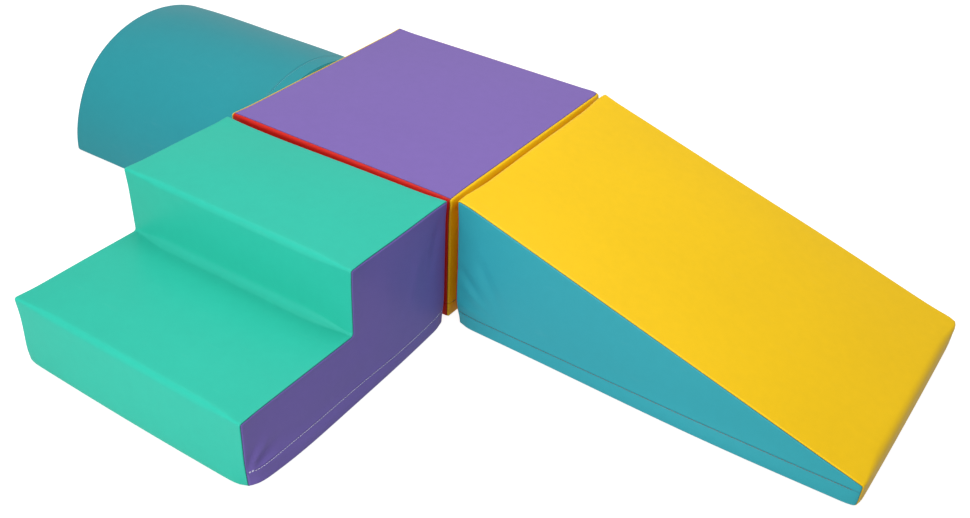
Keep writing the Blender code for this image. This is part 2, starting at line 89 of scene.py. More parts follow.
def labelled(group):
    """Name each setting of a group after its attribute."""
    for key, setting in group.__annotations__.items():
        setting.keywords["name"] = key.replace("_", " ").capitalize()
    return group


def length(description, default):
    """A length property in metres."""
    return FloatProperty(description=description, default=default, min=0.0, unit="LENGTH", precision=4)


def number(description, default, unit="NONE"):
    """A number of either sign, in its unit."""
    return FloatProperty(description=description, default=default, unit=unit, precision=4)


def colour(description, default):
    """A colour property in linear light."""
    limits = {"size": 3, "min": 0.0, "max": 1.0}
    return FloatVectorProperty(description=description, default=default, subtype="COLOR", **limits)


@labelled
class ModuleSizes(bpy.types.PropertyGroup):
    """The four foam modules, over their flat planes."""

    platform_length: length("Platform from its left to its right side", 0.614)
    platform_width: length("Platform from its front to its back", 0.620)
    platform_height: length("Platform from the floor to its top", 0.307)
    steps_width: length("Steps from side to side", 0.614)
    steps_height: length("Height of the upper tread", 0.314)
    lower_step_height: length("Height of the lower tread", 0.160)
    upper_tread: length("Depth of the upper tread", 0.305)
    lower_tread: length("Depth of the lower tread", 0.307)
    ramp_length: length("Ramp from its back to its toe", 0.908)
    ramp_width: length("Ramp from side to side", 0.606)
    ramp_height: length("Height of the ramp's back", 0.322)
    toe_height: length("Height of the ramp's blunt toe", 0.053)
    half_round_radius: length("Radius of the half-round", 0.305)
    half_round_length: length("Half-round from end to end", 0.586)
    steps_offset: number("Steps along X", 0.0075, "LENGTH")
    ramp_offset: number("Ramp along Y", -0.015, "LENGTH")
    half_round_offset: number("Half-round along Y", -0.004, "LENGTH")


@labelled
class CoverSizes(bpy.types.PropertyGroup):
    """The sewn cover: its sheet, roundings, crowns and stitches."""

    vinyl: length("Thickness of the vinyl sheet", 0.0012)
    seam_gap: length("Opening between two panels at a seam", 0.0005)
    seam_depth: length("How far a panel's border rolls in at a seam", 0.0013)
    seam_reach: length("Width of the rolled border", 0.0030)
    foam_inset: length("From the cover's outside to the foam", 0.0032)
    foam_end: length("How much deeper it lies under the creased end panels", 0.0038)
    seam_round: length("Rounding of the sewn edges", 0.006)
    base_round: length("Rounding at the floor", 0.006)
    nose_round: length("Rounding of the tread noses", 0.014)
    end_round: length("Rounding from the wrap to a side or an end", 0.0045)
    sewn_nose: length("Rounding of noses, foot and toe at the side seams", 0.006)
    nose_reach: length("From a side seam to the nose's full rounding", 0.110)
    foot_round: length("Fillet at the riser's foot", 0.020)
    ramp_back_round: length("Rounding of the ramp's top edge", 0.012)
    toe_round: length("Rounding of the ramp's toe", 0.022)
    side_crown: length("How far the sides bulge", 0.008)
    top_crown: length("How far the platform's top bulges", 0.004)
    tread_crown: length("How far treads and slope bulge", 0.005)
    end_crown: length("How far the half-round's ends bulge", 0.004)
    crown_reach: length("Rolled border of a face that meets another module", 0.070)
    face_reach: length("Rolled border of a face that stands free", 0.150)
    ear: length("How far a sewn corner points outward", 0.0022)
    ear_reach: length("Size of a pointed corner", 0.030)
    stitch_height: length("Stitch line above the floor", 0.037)
    stitch_pitch: length("From one stitch to the next", 0.0060)
    stitch_length: length("Length of one stitch", 0.0044)
    stitch_width: length("Thickness of the thread", 0.0012)


@labelled
class FasteningSizes(bpy.types.PropertyGroup):
    """Hook-and-loop strips and zips."""

    strip_round: length("Corner radius of a strip", 0.005)
    zip_offset: length("Zip's distance from the middle of the base", 0.120)
    zip_length: length("Length of the zips", 0.440)
    ramp_zip_length: length("Length of the ramp's zip", 0.700)
    slot_width: length("Opening in the base for the zip", 0.018)
    groove_width: length("Groove in the foam for the zip's tape", 0.044)
    groove_depth: length("Depth of that groove", 0.0086)


@labelled
class VinylColours(bpy.types.PropertyGroup):
    """Colours of the cover, its threads and its foam."""

    purple: colour("Platform top and the steps' sides", (0.200, 0.126, 0.420))
    red: colour("Platform front and back, and hidden backs", (0.640, 0.018, 0.010))
    yellow: colour("Platform sides and the ramp's slope", (0.900, 0.560, 0.004))
    green: colour("Steps' treads and risers", (0.026, 0.488, 0.358))
    teal: colour("Half-round and the ramp's sides", (0.022, 0.318, 0.385))
    foam: colour("Foam blocks", (0.830, 0.800, 0.700))
    base: colour("Grip fabric under the modules", (0.035, 0.037, 0.042))


@labelled
class RoomSizes(bpy.types.PropertyGroup):
    """Floor, light and camera."""

    floor_size: length("Side of the square floor", 14.0)
    lens: number("Focal length in millimetres", 41.97)
    key_power: number("Power of the overhead light", 102.0, "POWER")
    fill_power: number("Power of the light by the camera", 90.0, "POWER")
    sky: number("Strength of the even light", 0.20)


def ease_out(x):
    """1 - (1 - x)^2 between 0 and 1: it leaves a seam at a slope and arrives level."""
    x = np.clip(x, 0.0, 1.0)
    return 1.0 - (1.0 - x) ** 2


def smooth(x):
    """x^2 (3 - 2x) between 0 and 1: level at both ends."""
    x = np.clip(x, 0.0, 1.0)
    return x * x * (3.0 - 2.0 * x)


def spread(start, end, step):
    """Even lines from start to end, about one step apart."""
    count = max(1, int(round((end - start) / max(step, 0.1 * MM))))
    return np.linspace(start, end, count + 1)


def table(x, at, rows):
    """A table's rows at x: each column interpolated between the places at."""
    return np.stack([np.interp(x, at, column) for column in rows.T], -1)


def apart(lines, gap):
    """Which of these rising lines lie more than a gap after the one before."""
    return np.concatenate([[True], np.diff(lines) > gap])


SEAM_LINES = np.array([0.0, 0.45, 1.0, 1.7, 2.6, 3.8, 6.0, 9.0]) * MM


def with_seams(lines, start, end):
    """Lines between start and end, with close ones beside each seam so that its roll is smooth."""
    extra = [start, end, *(start + SEAM_LINES), *(end - SEAM_LINES)]
    inside = lines[(lines > start + SEAM_CLEAR) & (lines < end - SEAM_CLEAR)]
    every = np.unique(np.round(np.concatenate([inside, extra]), 6))
    keep = apart(every, FINEST)
    keep[-1] = True
    return every[keep]


class Form:
    """A stuffed module in its own frame: u away from the platform, v across it, z up.

    Its outside is a closed surface of s, the length along the outline, and t across it:
    for |t| up to 1 the wrap, at v = t times the half-width inside the seams; from 1 to 2 the
    rounding, turned through (|t| - 1) quarter turns; from 2 to 3 the end face, the share |t| - 2
    of the way from its rim to its middle. The seam runs at |t| = 1 + seam_turn(z). Each point is then
    lifted along its normal by a crown that starts at its panel's seams.
    """

    LOW_TURN = 0.12

    def __init__(self, body, corners, width, ends, middle, place, turn, cover, crown, face_cells, wrap_turn):
        self.body = body
        self.width = width
        self.ends = ends
        self.middle = np.array(middle)
        self.cover = cover
        self.crown = crown
        self.face_cells = face_cells
        self.wrap_turn = wrap_turn
        self.place = np.array(Vector(place))
        self.turn = np.array(Matrix.Rotation(turn, 3, "Z"))
        self.ears = []
        self.wrinkles = []
        self.pulls = []
        # colour shares that paint a module's sheet lighter or darker for light and shade; none by default
        self.tones = {}
        self.zip_across = False
        self.zip_middle = 0.0
        self.arch = 0.0
        if isinstance(corners, float):
            self.trace_arch(corners)
        else:
            self.trace(corners)
        self.bounds()
        self.lift_walls()

    def trace(self, corners):
        """Lay the outline: straight walls joined by arcs that touch both of their walls.

        An arc of radius r lies at the corner plus r times a fixed vector, so a smaller arc at the same
        parameter is the first plus a shift in proportion: sharpen holds it for the arcs' sewn ends.

        corners: (u, z, radius, the share of the arc before the seam, the panel after, its crown, its reach).
        """
        count = len(corners)
        points, normals, at, draws, sharpen = [], [], [], [], []
        run = 0.0
        self.walls = []
        spans = []
        for index, corner in enumerate(corners):
            here = np.array(corner[:2])
            before = np.array(corners[index - 1][:2]) - here
            after = np.array(corners[(index + 1) % count][:2]) - here
            before /= np.linalg.norm(before)
            after /= np.linalg.norm(after)
            half = math.acos(np.clip(before @ after, -1.0, 1.0)) / 2
            radius = corner[2]
            reach = radius / math.tan(half)
            bisector = (before + after) / np.linalg.norm(before + after)
            centre = here + bisector * radius / math.sin(half)
            spans.append((here + before * reach, here + after * reach, centre, radius, math.pi - 2 * half))
            draws.append(bisector / math.sin(half))
        for index, corner in enumerate(corners):
            start, end, centre, radius, turn = spans[index]
            first = start - centre
            sign = -1.0 if first[0] * (end - centre)[1] - first[1] * (end - centre)[0] < 0.0 else 1.0
            steps = max(3, int(math.ceil(turn / math.radians(3.0))))
            angles = sign * turn * np.linspace(0.0, 1.0, steps + 1)
            c, s = np.cos(angles), np.sin(angles)
            spokes = np.stack([first[0] * c - first[1] * s, first[0] * s + first[1] * c], 1)
            arc_start = run
            points.append(centre + spokes)
            normals.append(-sign * spokes / radius)
            less = max(0.0, radius - self.cover.sewn_nose) if radius > SOFT_ARC else 0.0
            sharpen.append(-less * (draws[index] + spokes / radius))
            at.append(run + radius * turn * np.linspace(0.0, 1.0, steps + 1))
            run += radius * turn
            straight = np.linalg.norm(spans[(index + 1) % count][0] - end)
            share, panel, crown, reach = corner[3:]
            wall = {"arc": (arc_start, run), "share": share, "panel": panel, "crown": crown, "reach": reach}
            run += straight
            self.walls.append({**wall, "end": run})
        self.total = run
        self.close(at, points, normals, sharpen)

    def close(self, at, *columns):
        """Join the outline's pieces into tables over s that end on their first point."""
        at = np.concatenate([*at, [self.total]])
        keep = apart(at, 1e-9)
        self.at = at[keep]
        joined = [np.concatenate([*parts, parts[0][:1]])[keep] for parts in columns]
        self.points, self.normals, self.sharpen = joined

    def trace_arch(self, radius):
        """Lay the outline of a half-round: the great arc, two small arcs to the floor, and the floor.

        A foot's centre is one foot radius above the floor and one inside the great arc, so all three touch.
        """
        self.arch = radius
        foot = self.cover.base_round
        lean = math.asin(foot / (radius - foot))
        reach = (radius - foot) * math.cos(lean)
        arcs = [
            ((-reach, foot), foot, -math.pi / 2, -math.pi - lean),
            ((0.0, 0.0), radius, math.pi - lean, lean),
            ((reach, foot), foot, lean, -math.pi / 2),
        ]
        points, normals, at = [], [], []
        run = 0.0
        for centre, size, first, last in arcs:
            angle = np.linspace(first, last, max(12, int(abs(last - first) / math.radians(2.0))) + 1)
            spoke = np.stack([np.cos(angle), np.sin(angle)], -1)
            points.append(np.array(centre) + size * spoke)
            normals.append(spoke)
            at.append(run + size * (first - angle))
            run += size * (first - last)
        curved = {"arc": (0.0, run), "end": run, "share": 0.0, "panel": "curved_panel"}
        self.total = run + 2 * reach
        base = {"arc": (run, run), "end": self.total, "share": 1.0, "panel": "base_panel"}
        self.walls = [{**curved, "crown": 0.002, "reach": 0.25}, {**base, "crown": 0.0, "reach": 0.0}]
        self.close(at, points, normals, [0.0 * part for part in points])

    def bounds(self):
        """Where each panel starts and ends along the outline, and where seams lie."""
        self.ranges = {}
        for index, wall in enumerate(self.walls):
            before = self.walls[index - 1]["panel"]
            low, high = wall["arc"]
            start = low + wall["share"] * (high - low)
            wall["seam_before"] = before != wall["panel"]
            wall["start"] = start
            if wall["seam_before"]:
                self.ranges[wall["panel"]] = [start, None]
        count = len(self.walls)
        for index, wall in enumerate(self.walls):
            after = self.walls[(index + 1) % count]
            turn = self.total if index + 1 == count else 0.0
            wall["seam_after"] = after["panel"] != wall["panel"]
            if wall["seam_after"]:
                self.ranges[wall["panel"]][1] = after["start"] + turn
            wall["stop"] = after["start"] + turn if wall["seam_after"] else sum(after["arc"]) / 2 + turn
            if not wall["seam_before"]:
                wall["start"] = sum(wall["arc"]) / 2

    def lift_walls(self):
        """The walls' crowns along the outline, as a table over s."""
        s = np.linspace(0.0, self.total, 4001)
        lift = np.zeros_like(s)
        for wall in self.walls:
            if not wall["crown"]:
                continue
            span = wall["stop"] - wall["start"]
            reach = min(wall["reach"], 0.5 * span)
            for shift in (0.0, self.total, -self.total):
                x = s + shift
                inside = (x >= wall["start"]) & (x <= wall["stop"])
                rise = ease_out if wall["seam_before"] else smooth
                fall = ease_out if wall["seam_after"] else smooth
                value = rise((x - wall["start"]) / reach) * fall((wall["stop"] - x) / reach)
                lift = np.where(inside, wall["crown"] * value, lift)
        self.lift_table = (s, lift)

    def outline(self, s):
        """Point and outward normal of the outline at s, by linear interpolation."""
        s = np.mod(s, self.total)
        normal = table(s, self.at, self.normals)
        return table(s, self.at, self.points), normal / np.linalg.norm(normal, axis=-1, keepdims=True)

    def seam_turn(self, z):
        """How far round the sewn edge the seam lies: next to the floor at its foot, wrap_turn 50 mm up."""
        return self.LOW_TURN + (self.wrap_turn - self.LOW_TURN) * smooth(z / TURN_HEIGHT)

    def wrap_share(self, s, v):
        """t for the distance v across the wrap, measured over the rounding at its usual radius."""
        inner = self.width / 2 - self.cover.end_round
        over = (np.abs(v) - inner) / (self.half_wrap() - inner)
        turn = self.seam_turn(self.outline(s)[0][..., 1])
        return np.where(over <= 0.0, v / inner, np.sign(v) * (1.0 + np.clip(over, 0.0, 1.0) * turn))

    def half_wrap(self):
        """From the middle of the wrap to its seam."""
        return self.width / 2 - self.cover.end_round * (1.0 - self.wrap_turn * math.pi / 2)

    def cap_share(self, s, c):
        """t for a ring of an end: c from 0 at the seam to 1 at the face's rim, and to 2 at its middle."""
        turn = self.seam_turn(self.outline(s)[0][..., 1])
        return np.where(c <= 1.0, 1.0 + turn + c * (1.0 - turn), 1.0 + c)

    def at_points(self, s, t, inset=0.0, roll=0.0):
        """Points of the surface, in the module's frame, for arrays s and t of one shape.

        roll: how far the seam's border is rolled in there; inset: how far below the surface.
        """
        s, t = np.broadcast_arrays(np.asarray(s, float), np.asarray(t, float))
        point, normal = self.outline(s)
        side = np.sign(t) + (t == 0.0)
        far = np.abs(t)
        point = point + self.sewn_shift(s, (1.0 - far) * self.width / 2)
        z = point[..., 1]
        radius = self.cover.end_round
        inner = self.width / 2 - radius
        turn = np.clip(far - 1.0, 0.0, 1.0) * math.pi / 2
        share = np.clip(far - 2.0, 0.0, 1.0)
        edge = point - normal * radius * (1.0 - np.cos(turn))[..., None]
        flat = edge + (self.middle - edge) * share[..., None]
        v = side * np.where(far <= 1.0, far * inner, self.width / 2 - radius * (1.0 - np.sin(turn)))
        arc = radius * math.pi / 2
        seam = self.seam_turn(z)
        from_seam = (1.0 + seam - np.clip(far, 1.0, 1.0 + seam)) * arc + np.clip(1.0 - far, 0.0, 1.0) * inner
        wall = np.interp(np.mod(s, self.total), *self.lift_table)
        wall = wall * ease_out(from_seam / (0.5 * self.reach_across(s) * self.width))
        unrolled = np.clip((far - 1.0 - seam) / (1.0 - seam), 0.0, 1.0) * radius
        open_flat = np.where((far <= 2.0)[..., None], point - normal * unrolled[..., None], flat)
        lift = np.where(far <= 1.0 + seam, wall, self.crown * self.membrane(open_flat))
        flat_out = normal * np.cos(turn)[..., None]
        out = np.stack([flat_out[..., 0], side * np.sin(turn), flat_out[..., 1]], -1)
        at = np.stack([flat[..., 0], v, flat[..., 1]], -1)
        lift = lift + self.relief(at, out)
        return self.settle(at) + out * (lift - inset - roll)[..., None]

    def sewn_shift(self, s, from_end):
        """The outline's shift to its sharper arcs: all of it at a sewn end, none nose_reach inside."""
        shift = table(np.mod(s, self.total), self.at, self.sharpen)
        return shift * (1.0 - smooth(from_end / self.cover.nose_reach))[..., None]

    def membrane(self, at):
        """An end face's crown as a share of its height, for points u, z: each cell is the product of its
        borders' rises with the distance from them, and the cells join as 1 - (1 - a)(1 - b).
        A sewn border leaves at a slope, an inner one level.
        """
        left = np.ones(at.shape[:-1])
        for cell in self.face_cells:
            value = np.ones(at.shape[:-1])
            for u, z, to_u, to_z, reach, sewn in cell:
                away = ((at[..., 0] - u) * to_u + (at[..., 1] - z) * to_z) / math.hypot(to_u, to_z)
                value = value * (ease_out if sewn else smooth)(away / reach)
            left = left * (1.0 - value)
        if self.arch:
            rise = ease_out((self.arch - np.hypot(at[..., 0], at[..., 1])) / self.cover.crown_reach)
            left = left * (1.0 - rise * ease_out(at[..., 1] / self.cover.crown_reach))
        return 1.0 - left

    def reach_across(self, s):
        """The crown's rolled border towards the ends, as a share of the half-width."""
        return np.where(self.joined(s), 2 * self.cover.crown_reach / self.width, FREE_REACH)

    def joined(self, s):
        """True where the wall at s meets another module, whose strips need a flat middle."""
        s = np.mod(s, self.total)
        found = np.zeros_like(s, bool)
        for wall in self.walls:
            if wall["reach"] <= self.cover.crown_reach + 1e-6:
                found |= (s >= wall["arc"][0]) & (s <= wall["end"])
        return found

    def relief(self, at, out):
        """Soft unevenness of the stuffed cover: a sum of long sine waves, and the module's own wrinkles.

        A wrinkle is a ridge along a line from a point: a bell across it, fading out along it.
        """
        u, v, z = at[..., 0], at[..., 1], at[..., 2]
        wave = np.sin(11.0 * u + 7.0 * v + 1.3) * np.sin(9.0 * v - 13.0 * z + 0.4)
        wave = wave + 0.6 * np.sin(23.0 * u - 17.0 * v + 19.0 * z + 2.1)
        height = RELIEF * wave * smooth(z / 0.03)
        for start, along, normal, rise, wide, long in self.wrinkles:
            away = at - np.array(start)
            line = np.array(along) / np.linalg.norm(along)
            x = away @ line
            y = np.linalg.norm(away - x[..., None] * line, axis=-1)
            bell = np.exp(-((y / wide) ** 2)) * smooth(x / (0.3 * long) + 0.5) * (1.0 - smooth(x / long))
            height = height + rise * bell * np.clip(out @ np.array(normal), 0.0, 1.0) ** 2
        return height

    def settle(self, at):
        """Draw each sewn corner outward: a shift that fades with the squared distance from it.

        The module's pulls are wider shifts (place, way, reach), each a bell along u, v and z.
        """
        moved = at
        for place, way, reach in self.pulls:
            bell = np.exp(-np.sum(((at - np.array(place)) / np.array(reach)) ** 2, -1))
            moved = moved + bell[..., None] * np.array(way)
        for u, z, along_u, along_z in self.ears:
            for side in (-1.0, 1.0):
                corner = np.array([u, side * self.width / 2, z])
                way = np.array([along_u, side, along_z])
                near = np.exp(-np.sum((at - corner) ** 2, -1) / self.cover.ear_reach**2)
                moved = moved + near[..., None] * way * self.cover.ear
        return moved

    def platform_end(self):
        """Where a module turned a quarter ends on the platform's side, along X."""
        return self.place[0] + self.width / 2

    def give(self, at):
        """Points of the row frame, moved as the module's settled surface moves there."""
        return self.settle((at - self.place) @ self.turn) @ self.turn.T + self.place

    def world(self, at):
        """Module frame to row frame."""
        moved = at @ self.turn.T + self.place
        moved[..., 2] = np.maximum(moved[..., 2], 0.0)
        return moved

    def rows(self, start, end, step=GRID_STEP):
        """Lines along the outline: close on the arcs, one step apart on the walls."""
        lines = []
        for wall in self.walls:
            for shift in (0.0, self.total):
                low, high = wall["arc"]
                lines.append(spread(low, high, min(step, (high - low) / 8)) + shift)
                lines.append(spread(high, wall["end"], step) + shift)
        arc_end = self.walls[0]["arc"][1]
        for low, high in ((0.0, FOOT_SPAN), (arc_end - FOOT_SPAN, arc_end)):
            lines.append(spread(low, high, FOOT_STEP))
        every = np.unique(np.round(np.concatenate(lines), 6))
        every = every[apart(every, ROW_GAP)]
        return every[(every > start) & (every < end)]

    def roll(self, x):
        """How far a panel's border is rolled in at the distance x from its seam: depth (1 - x/reach)^2."""
        return self.cover.seam_depth * (1.0 - np.clip(x / self.cover.seam_reach, 0.0, 1.0)) ** 2


def mesh_object(name, points, faces, material, **values):
    """A mesh object from whole arrays: its points, its lists of faces, and values per point."""
    mesh = bpy.data.meshes.new(name)
    mesh.from_pydata(points.reshape(-1, 3).tolist(), [], [f for part in faces for f in part.tolist()])
    for key, value in values.items():
        data = mesh.attributes.new(key, "FLOAT", "POINT")
        data.data.foreach_set("value", value.astype(np.float32).ravel())
    mesh.materials.append(material)
    mesh.shade_smooth()
    obj = bpy.data.objects.new(name, mesh)
    bpy.context.scene.collection.objects.link(obj)
    return obj


def cells(index):
    """The quads between the rows and columns of an array of point numbers."""
    return np.stack([index[:-1, :-1], index[1:, :-1], index[1:, 1:], index[:-1, 1:]], -1).reshape(-1, 4)


def grid_faces(rows, columns, closed=False):
    """The quads of a grid of points, as index rows. A closed grid joins its last row to its first."""
    index = np.arange(rows * columns).reshape(rows, columns)
    return cells(np.vstack([index, index[:1]]) if closed else index)


def fan_faces(ring, pole, flip):
    """The triangles from a closed ring of points to its pole."""
    after = np.roll(ring, -1)
    pair = (ring, after) if flip else (after, ring)
    return np.stack([*pair, np.full(len(ring), pole)], -1)


def shell_faces(faces, count):
    """The faces of a sheet with a thickness: its outside, its inside turned over and a rim along each border.

    count: the points of one side; the inside's points follow the outside's in the same order.
    """
    edges = np.concatenate([np.stack([part, np.roll(part, -1, 1)], -1).reshape(-1, 2) for part in faces])
    ahead = edges[:, 0].astype(np.int64) * count + edges[:, 1]
    back = edges[:, 1].astype(np.int64) * count + edges[:, 0]
    border = edges[~np.isin(ahead, back)]
    rim = np.stack([border[:, 1], border[:, 0], border[:, 0] + count, border[:, 1] + count], -1)
    return [*faces, *[part[:, ::-1] + count for part in faces], rim]


def finish_piece(obj, body, node):
    """Let a piece ride on its body and stand for its part."""
    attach(obj, body)
    if node:
        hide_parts(node)
    return obj


def sewn_panel(form, name, slot, points, faces, from_seam, stitched):
    """A panel's sheet: its outside and inside points, with the distance from its seam and its topstitch."""
    count = len(points[0])
    points = form.world(np.concatenate(points))
    line = np.full(2 * count, 1.0)
    if stitched == "level":
        line = points[:, 2] - form.cover.stitch_height
    elif stitched == "end":
        line = points[:, 0] - (form.platform_end() - form.cover.stitch_height)
    sheet = shell_faces(faces, count)
    values = {"seam": np.tile(from_seam, 2), "stitch": line}
    obj = mesh_object(name + "_sewn", points, sheet, vinyl(slot, form.tones), **values)
    return finish_piece(obj, form.body, name)


def wall_panel(form, name, panel, slot, stitched):
    """A panel of the wrap: the grid of s over its stretch of the outline and t from seam to seam."""
    cover = form.cover
    start, end = form.ranges[panel]
    half = form.half_wrap()
    gap = cover.seam_gap / 2
    s = with_seams(form.rows(start, end), start + gap, end - gap)
    v = with_seams(spread(-half, half, GRID_STEP), -half + gap, half - gap)
    s_grid, v_grid = np.meshgrid(s, v, indexing="ij")
    from_seam = np.minimum(np.minimum(s_grid - start, end - s_grid), half - np.abs(v_grid))
    t_grid = form.wrap_share(s_grid, v_grid)
    roll = form.roll(from_seam)
    points = [form.at_points(s_grid, t_grid, inset, roll).reshape(-1, 3) for inset in (0.0, cover.vinyl)]
    return sewn_panel(form, name, slot, points, [grid_faces(len(s), len(v))], from_seam.ravel(), stitched)


CAP_RINGS = np.concatenate([np.arange(0.010, 0.40, 0.013), np.arange(0.41, 0.96, 0.040)])


def end_arc(form):
    """From an end's seam over the rounding to its flat face."""
    return form.cover.end_round * math.pi / 2 * (1.0 - form.wrap_turn)


def cap_lines(form):
    """Rings of an end: close ones at the seam and over the rounding, then shares of the way to the middle."""
    arc = end_arc(form)
    lines = np.concatenate([[form.cover.seam_gap / 2], SEAM_LINES[1:]])
    lines = np.unique(np.concatenate([lines[lines < arc - 0.0004], spread(0.004, arc, 0.0015)])) / arc
    return np.concatenate([lines[lines < 0.95], [1.0], 1.0 + CAP_RINGS])


def end_panel(form, name, side, slot, stitched):
    """An end of the form: rings round the outline from the seam over the rounding to the middle."""
    c = cap_lines(form)
    s = np.concatenate([[0.0], form.rows(0.0, form.total - 0.001, END_STEP)])
    s_grid, c_grid = np.meshgrid(s, c, indexing="ij")
    arc = end_arc(form)
    from_seam = np.where(c_grid <= 1.0, c_grid * arc, arc + (c_grid - 1.0) * 0.15)
    t_grid = form.cap_share(s_grid, c_grid)
    points = []
    for inset in (0.0, form.cover.vinyl):
        rings = form.at_points(s_grid, side * t_grid, inset, form.roll(from_seam))
        pole = form.at_points(np.array([0.0]), np.array([side * 3.0]), inset)
        points.append(np.concatenate([rings.reshape(-1, 3), pole]))
    faces = grid_faces(len(s), len(c), closed=True)
    if side < 0.0:
        faces = faces[:, ::-1]
    last = np.arange(len(s)) * len(c) + len(c) - 1
    fan = fan_faces(last, s_grid.size, side > 0.0)
    return sewn_panel(form, name, slot, points, [faces, fan], np.append(from_seam.ravel(), 0.1), stitched)


def zip_span(form, length, width, fastening):
    """The ranges of u and v that a zip takes: it runs along u, or on the platform along v."""
    along = form.zip_middle + length / 2 * np.array([-1.0, 1.0])
    across = fastening.zip_offset + width / 2 * np.array([-1.0, 1.0])
    return (across, along) if form.zip_across else (along, -across[::-1])


def foam_block(form, name, zip_length, fastening):
    """The foam inside a cover: the whole form drawn in, with a groove for the zip's tape."""
    half = form.width / 2 - form.cover.end_round
    groove_u, groove_v = zip_span(form, zip_length + ZIP_CLEARANCE, fastening.groove_width, fastening)
    beside = FINEST * np.array([-1.0, 1.0])
    v = np.unique(np.concatenate([spread(-half, half, FOAM_STEP), groove_v, groove_v + beside]))
    t = np.concatenate([v / half, 1.0 + np.array([0.25, 0.5, 0.75, 1.0]), [2.15, 2.35, 2.6, 2.85]])
    t = np.unique(np.concatenate([t, -t[t > 1.0]]))
    low, high = form.ranges["base_panel"]
    ends = np.concatenate([groove_u, groove_u + beside])
    lines = form.rows(0.0, form.total, FOAM_STEP)
    base_u = np.linspace(low, high, 2001)
    base_at = form.outline(base_u)[0][:, 0]
    order = np.argsort(base_at)
    extra = np.mod(np.interp(ends, base_at[order], base_u[order]), form.total)
    s = np.unique(np.round(np.concatenate([[0.0], lines[lines < form.total - 0.001], extra]), 7))
    s_grid, t_grid = np.meshgrid(s, t, indexing="ij")
    inset = form.cover.foam_inset + form.cover.foam_end * np.clip(np.abs(t_grid) - 1.0, 0.0, 1.0)
    at = form.at_points(s_grid, t_grid, inset=inset)
    under = (at[..., 2] < 0.02) & (np.abs(t_grid) <= 1.0)
    inside = under & (at[..., 1] > groove_v[0] - 1e-5) & (at[..., 1] < groove_v[1] + 1e-5)
    inside &= (at[..., 0] > groove_u[0] - 1e-4) & (at[..., 0] < groove_u[1] + 1e-4)
    at[..., 2] = np.where(inside, fastening.groove_depth, at[..., 2])
    poles = form.at_points(np.array([0.0, 0.0]), np.array([-3.0, 3.0]), inset=np.max(inset))
    points = form.world(np.concatenate([at.reshape(-1, 3), poles]))
    count, wide = len(s), len(t)
    ring = np.arange(count) * wide
    faces = grid_faces(count, wide, closed=True)
    fans = [fan_faces(ring, count * wide, False), fan_faces(ring + wide - 1, count * wide + 1, True)]
    obj = mesh_object(name + "_block", points, [faces, *fans], foam_material())
    obj.data.set_sharp_from_angle(angle=math.radians(SHARP_DEGREES))
    return finish_piece(obj, form.body, name)


def base_sheet(form, name, zip_length, fastening):
    """The grip fabric under a module: a flat grid of u and v, without the cells of the zip's slot."""
    cover = form.cover
    low, high = form.ranges["base_panel"]
    ends = np.sort(form.outline(np.array([low, high]))[0][:, 0])
    gap = cover.seam_gap / 2
    half = form.width / 2 - cover.end_round * (1.0 - math.sin(form.LOW_TURN * math.pi / 2))
    u = with_seams(spread(ends[0], ends[1], BASE_STEP), ends[0] + gap, ends[1] - gap)
    v = with_seams(spread(-half, half, BASE_STEP), -half + gap, half - gap)
    cut_u, cut_v = zip_span(form, zip_length, fastening.slot_width, fastening)
    u, v = (
        np.unique(np.concatenate([lines[np.abs(lines[:, None] - cut).min(1) > CUT_CLEAR], cut]))
        for lines, cut in ((u, cut_u), (v, cut_v))
    )
    u_grid, v_grid = np.meshgrid(u, v, indexing="ij")
    points = form.settle(np.stack([u_grid, v_grid, np.zeros_like(u_grid)], -1))
    points = form.world(points * np.array([1.0, 1.0, 0.0]))
    faces = grid_faces(len(u), len(v))
    mid_u = u_grid.ravel()[faces].mean(1)
    mid_v = v_grid.ravel()[faces].mean(1)
    open_cell = (mid_u > cut_u[0]) & (mid_u < cut_u[1]) & (mid_v > cut_v[0]) & (mid_v < cut_v[1])
    faces = faces[~open_cell]
    used = np.unique(faces)
    place = np.full(u_grid.size, -1)
    place[used] = np.arange(len(used))
    under = points.reshape(-1, 3)[used]
    both = np.concatenate([under, under + np.array([0.0, 0.0, cover.vinyl])])
    shell = shell_faces([place[faces][:, ::-1]], len(used))
    obj = mesh_object(name + "_sewn", both, shell, base_material())
    obj.data.set_sharp_from_angle(angle=math.radians(SHARP_DEGREES))
    return finish_piece(obj, form.body, name)


def maths(operation, second=0.5, third=0.5):
    """A maths node for wire: its operation, and its second and third values."""
    return "Math", {"_operation": operation, 1: second, 2: third}


def wire(tree, nodes, links):
    """Fill a node tree.

    nodes: name: (kind, values). A value's key is an input's name or number, or with an
    underscore before it a property.
    links: "name.output > name.input", with commas between them.
    """
    made = {}
    for index, (name, (kind, values)) in enumerate(nodes.items()):
        made[name] = tree.nodes.new(kind if kind.startswith("Node") else "ShaderNode" + kind)
        made[name].location = (220 * index, -160 * (index % 3))
        for key, value in values.items():
            if str(key).startswith("_"):
                setattr(made[name], key[1:], value)
            else:
                made[name].inputs[key].default_value = value
    for link in links.split(","):
        (source, out), (target, into) = (end.strip().split(".") for end in link.split(">"))
        out, into = (int(key) if key.isdigit() else key for key in (out, into))
        tree.links.new(made[source].outputs[out], made[target].inputs[into])


def shader_group(name, inputs, outputs, nodes, links):
    """A node group, made once: its inputs with their usual values, its outputs and its nodes."""
    found = bpy.data.node_groups.get(name)
    if found:
        return found
    group = bpy.data.node_groups.new(name, "ShaderNodeTree")
    for way, sockets in (("INPUT", inputs), ("OUTPUT", dict.fromkeys(outputs))):
        for key, value in sockets.items():
            kind = "NodeSocketColor" if key == "Color" else "NodeSocketFloat"
            made = group.interface.new_socket(name=key, in_out=way, socket_type=kind)
            if value is not None:
                made.default_value = value
    wire(group, {"given": ("NodeGroupInput", {}), "result": ("NodeGroupOutput", {}), **nodes}, links)
    return group


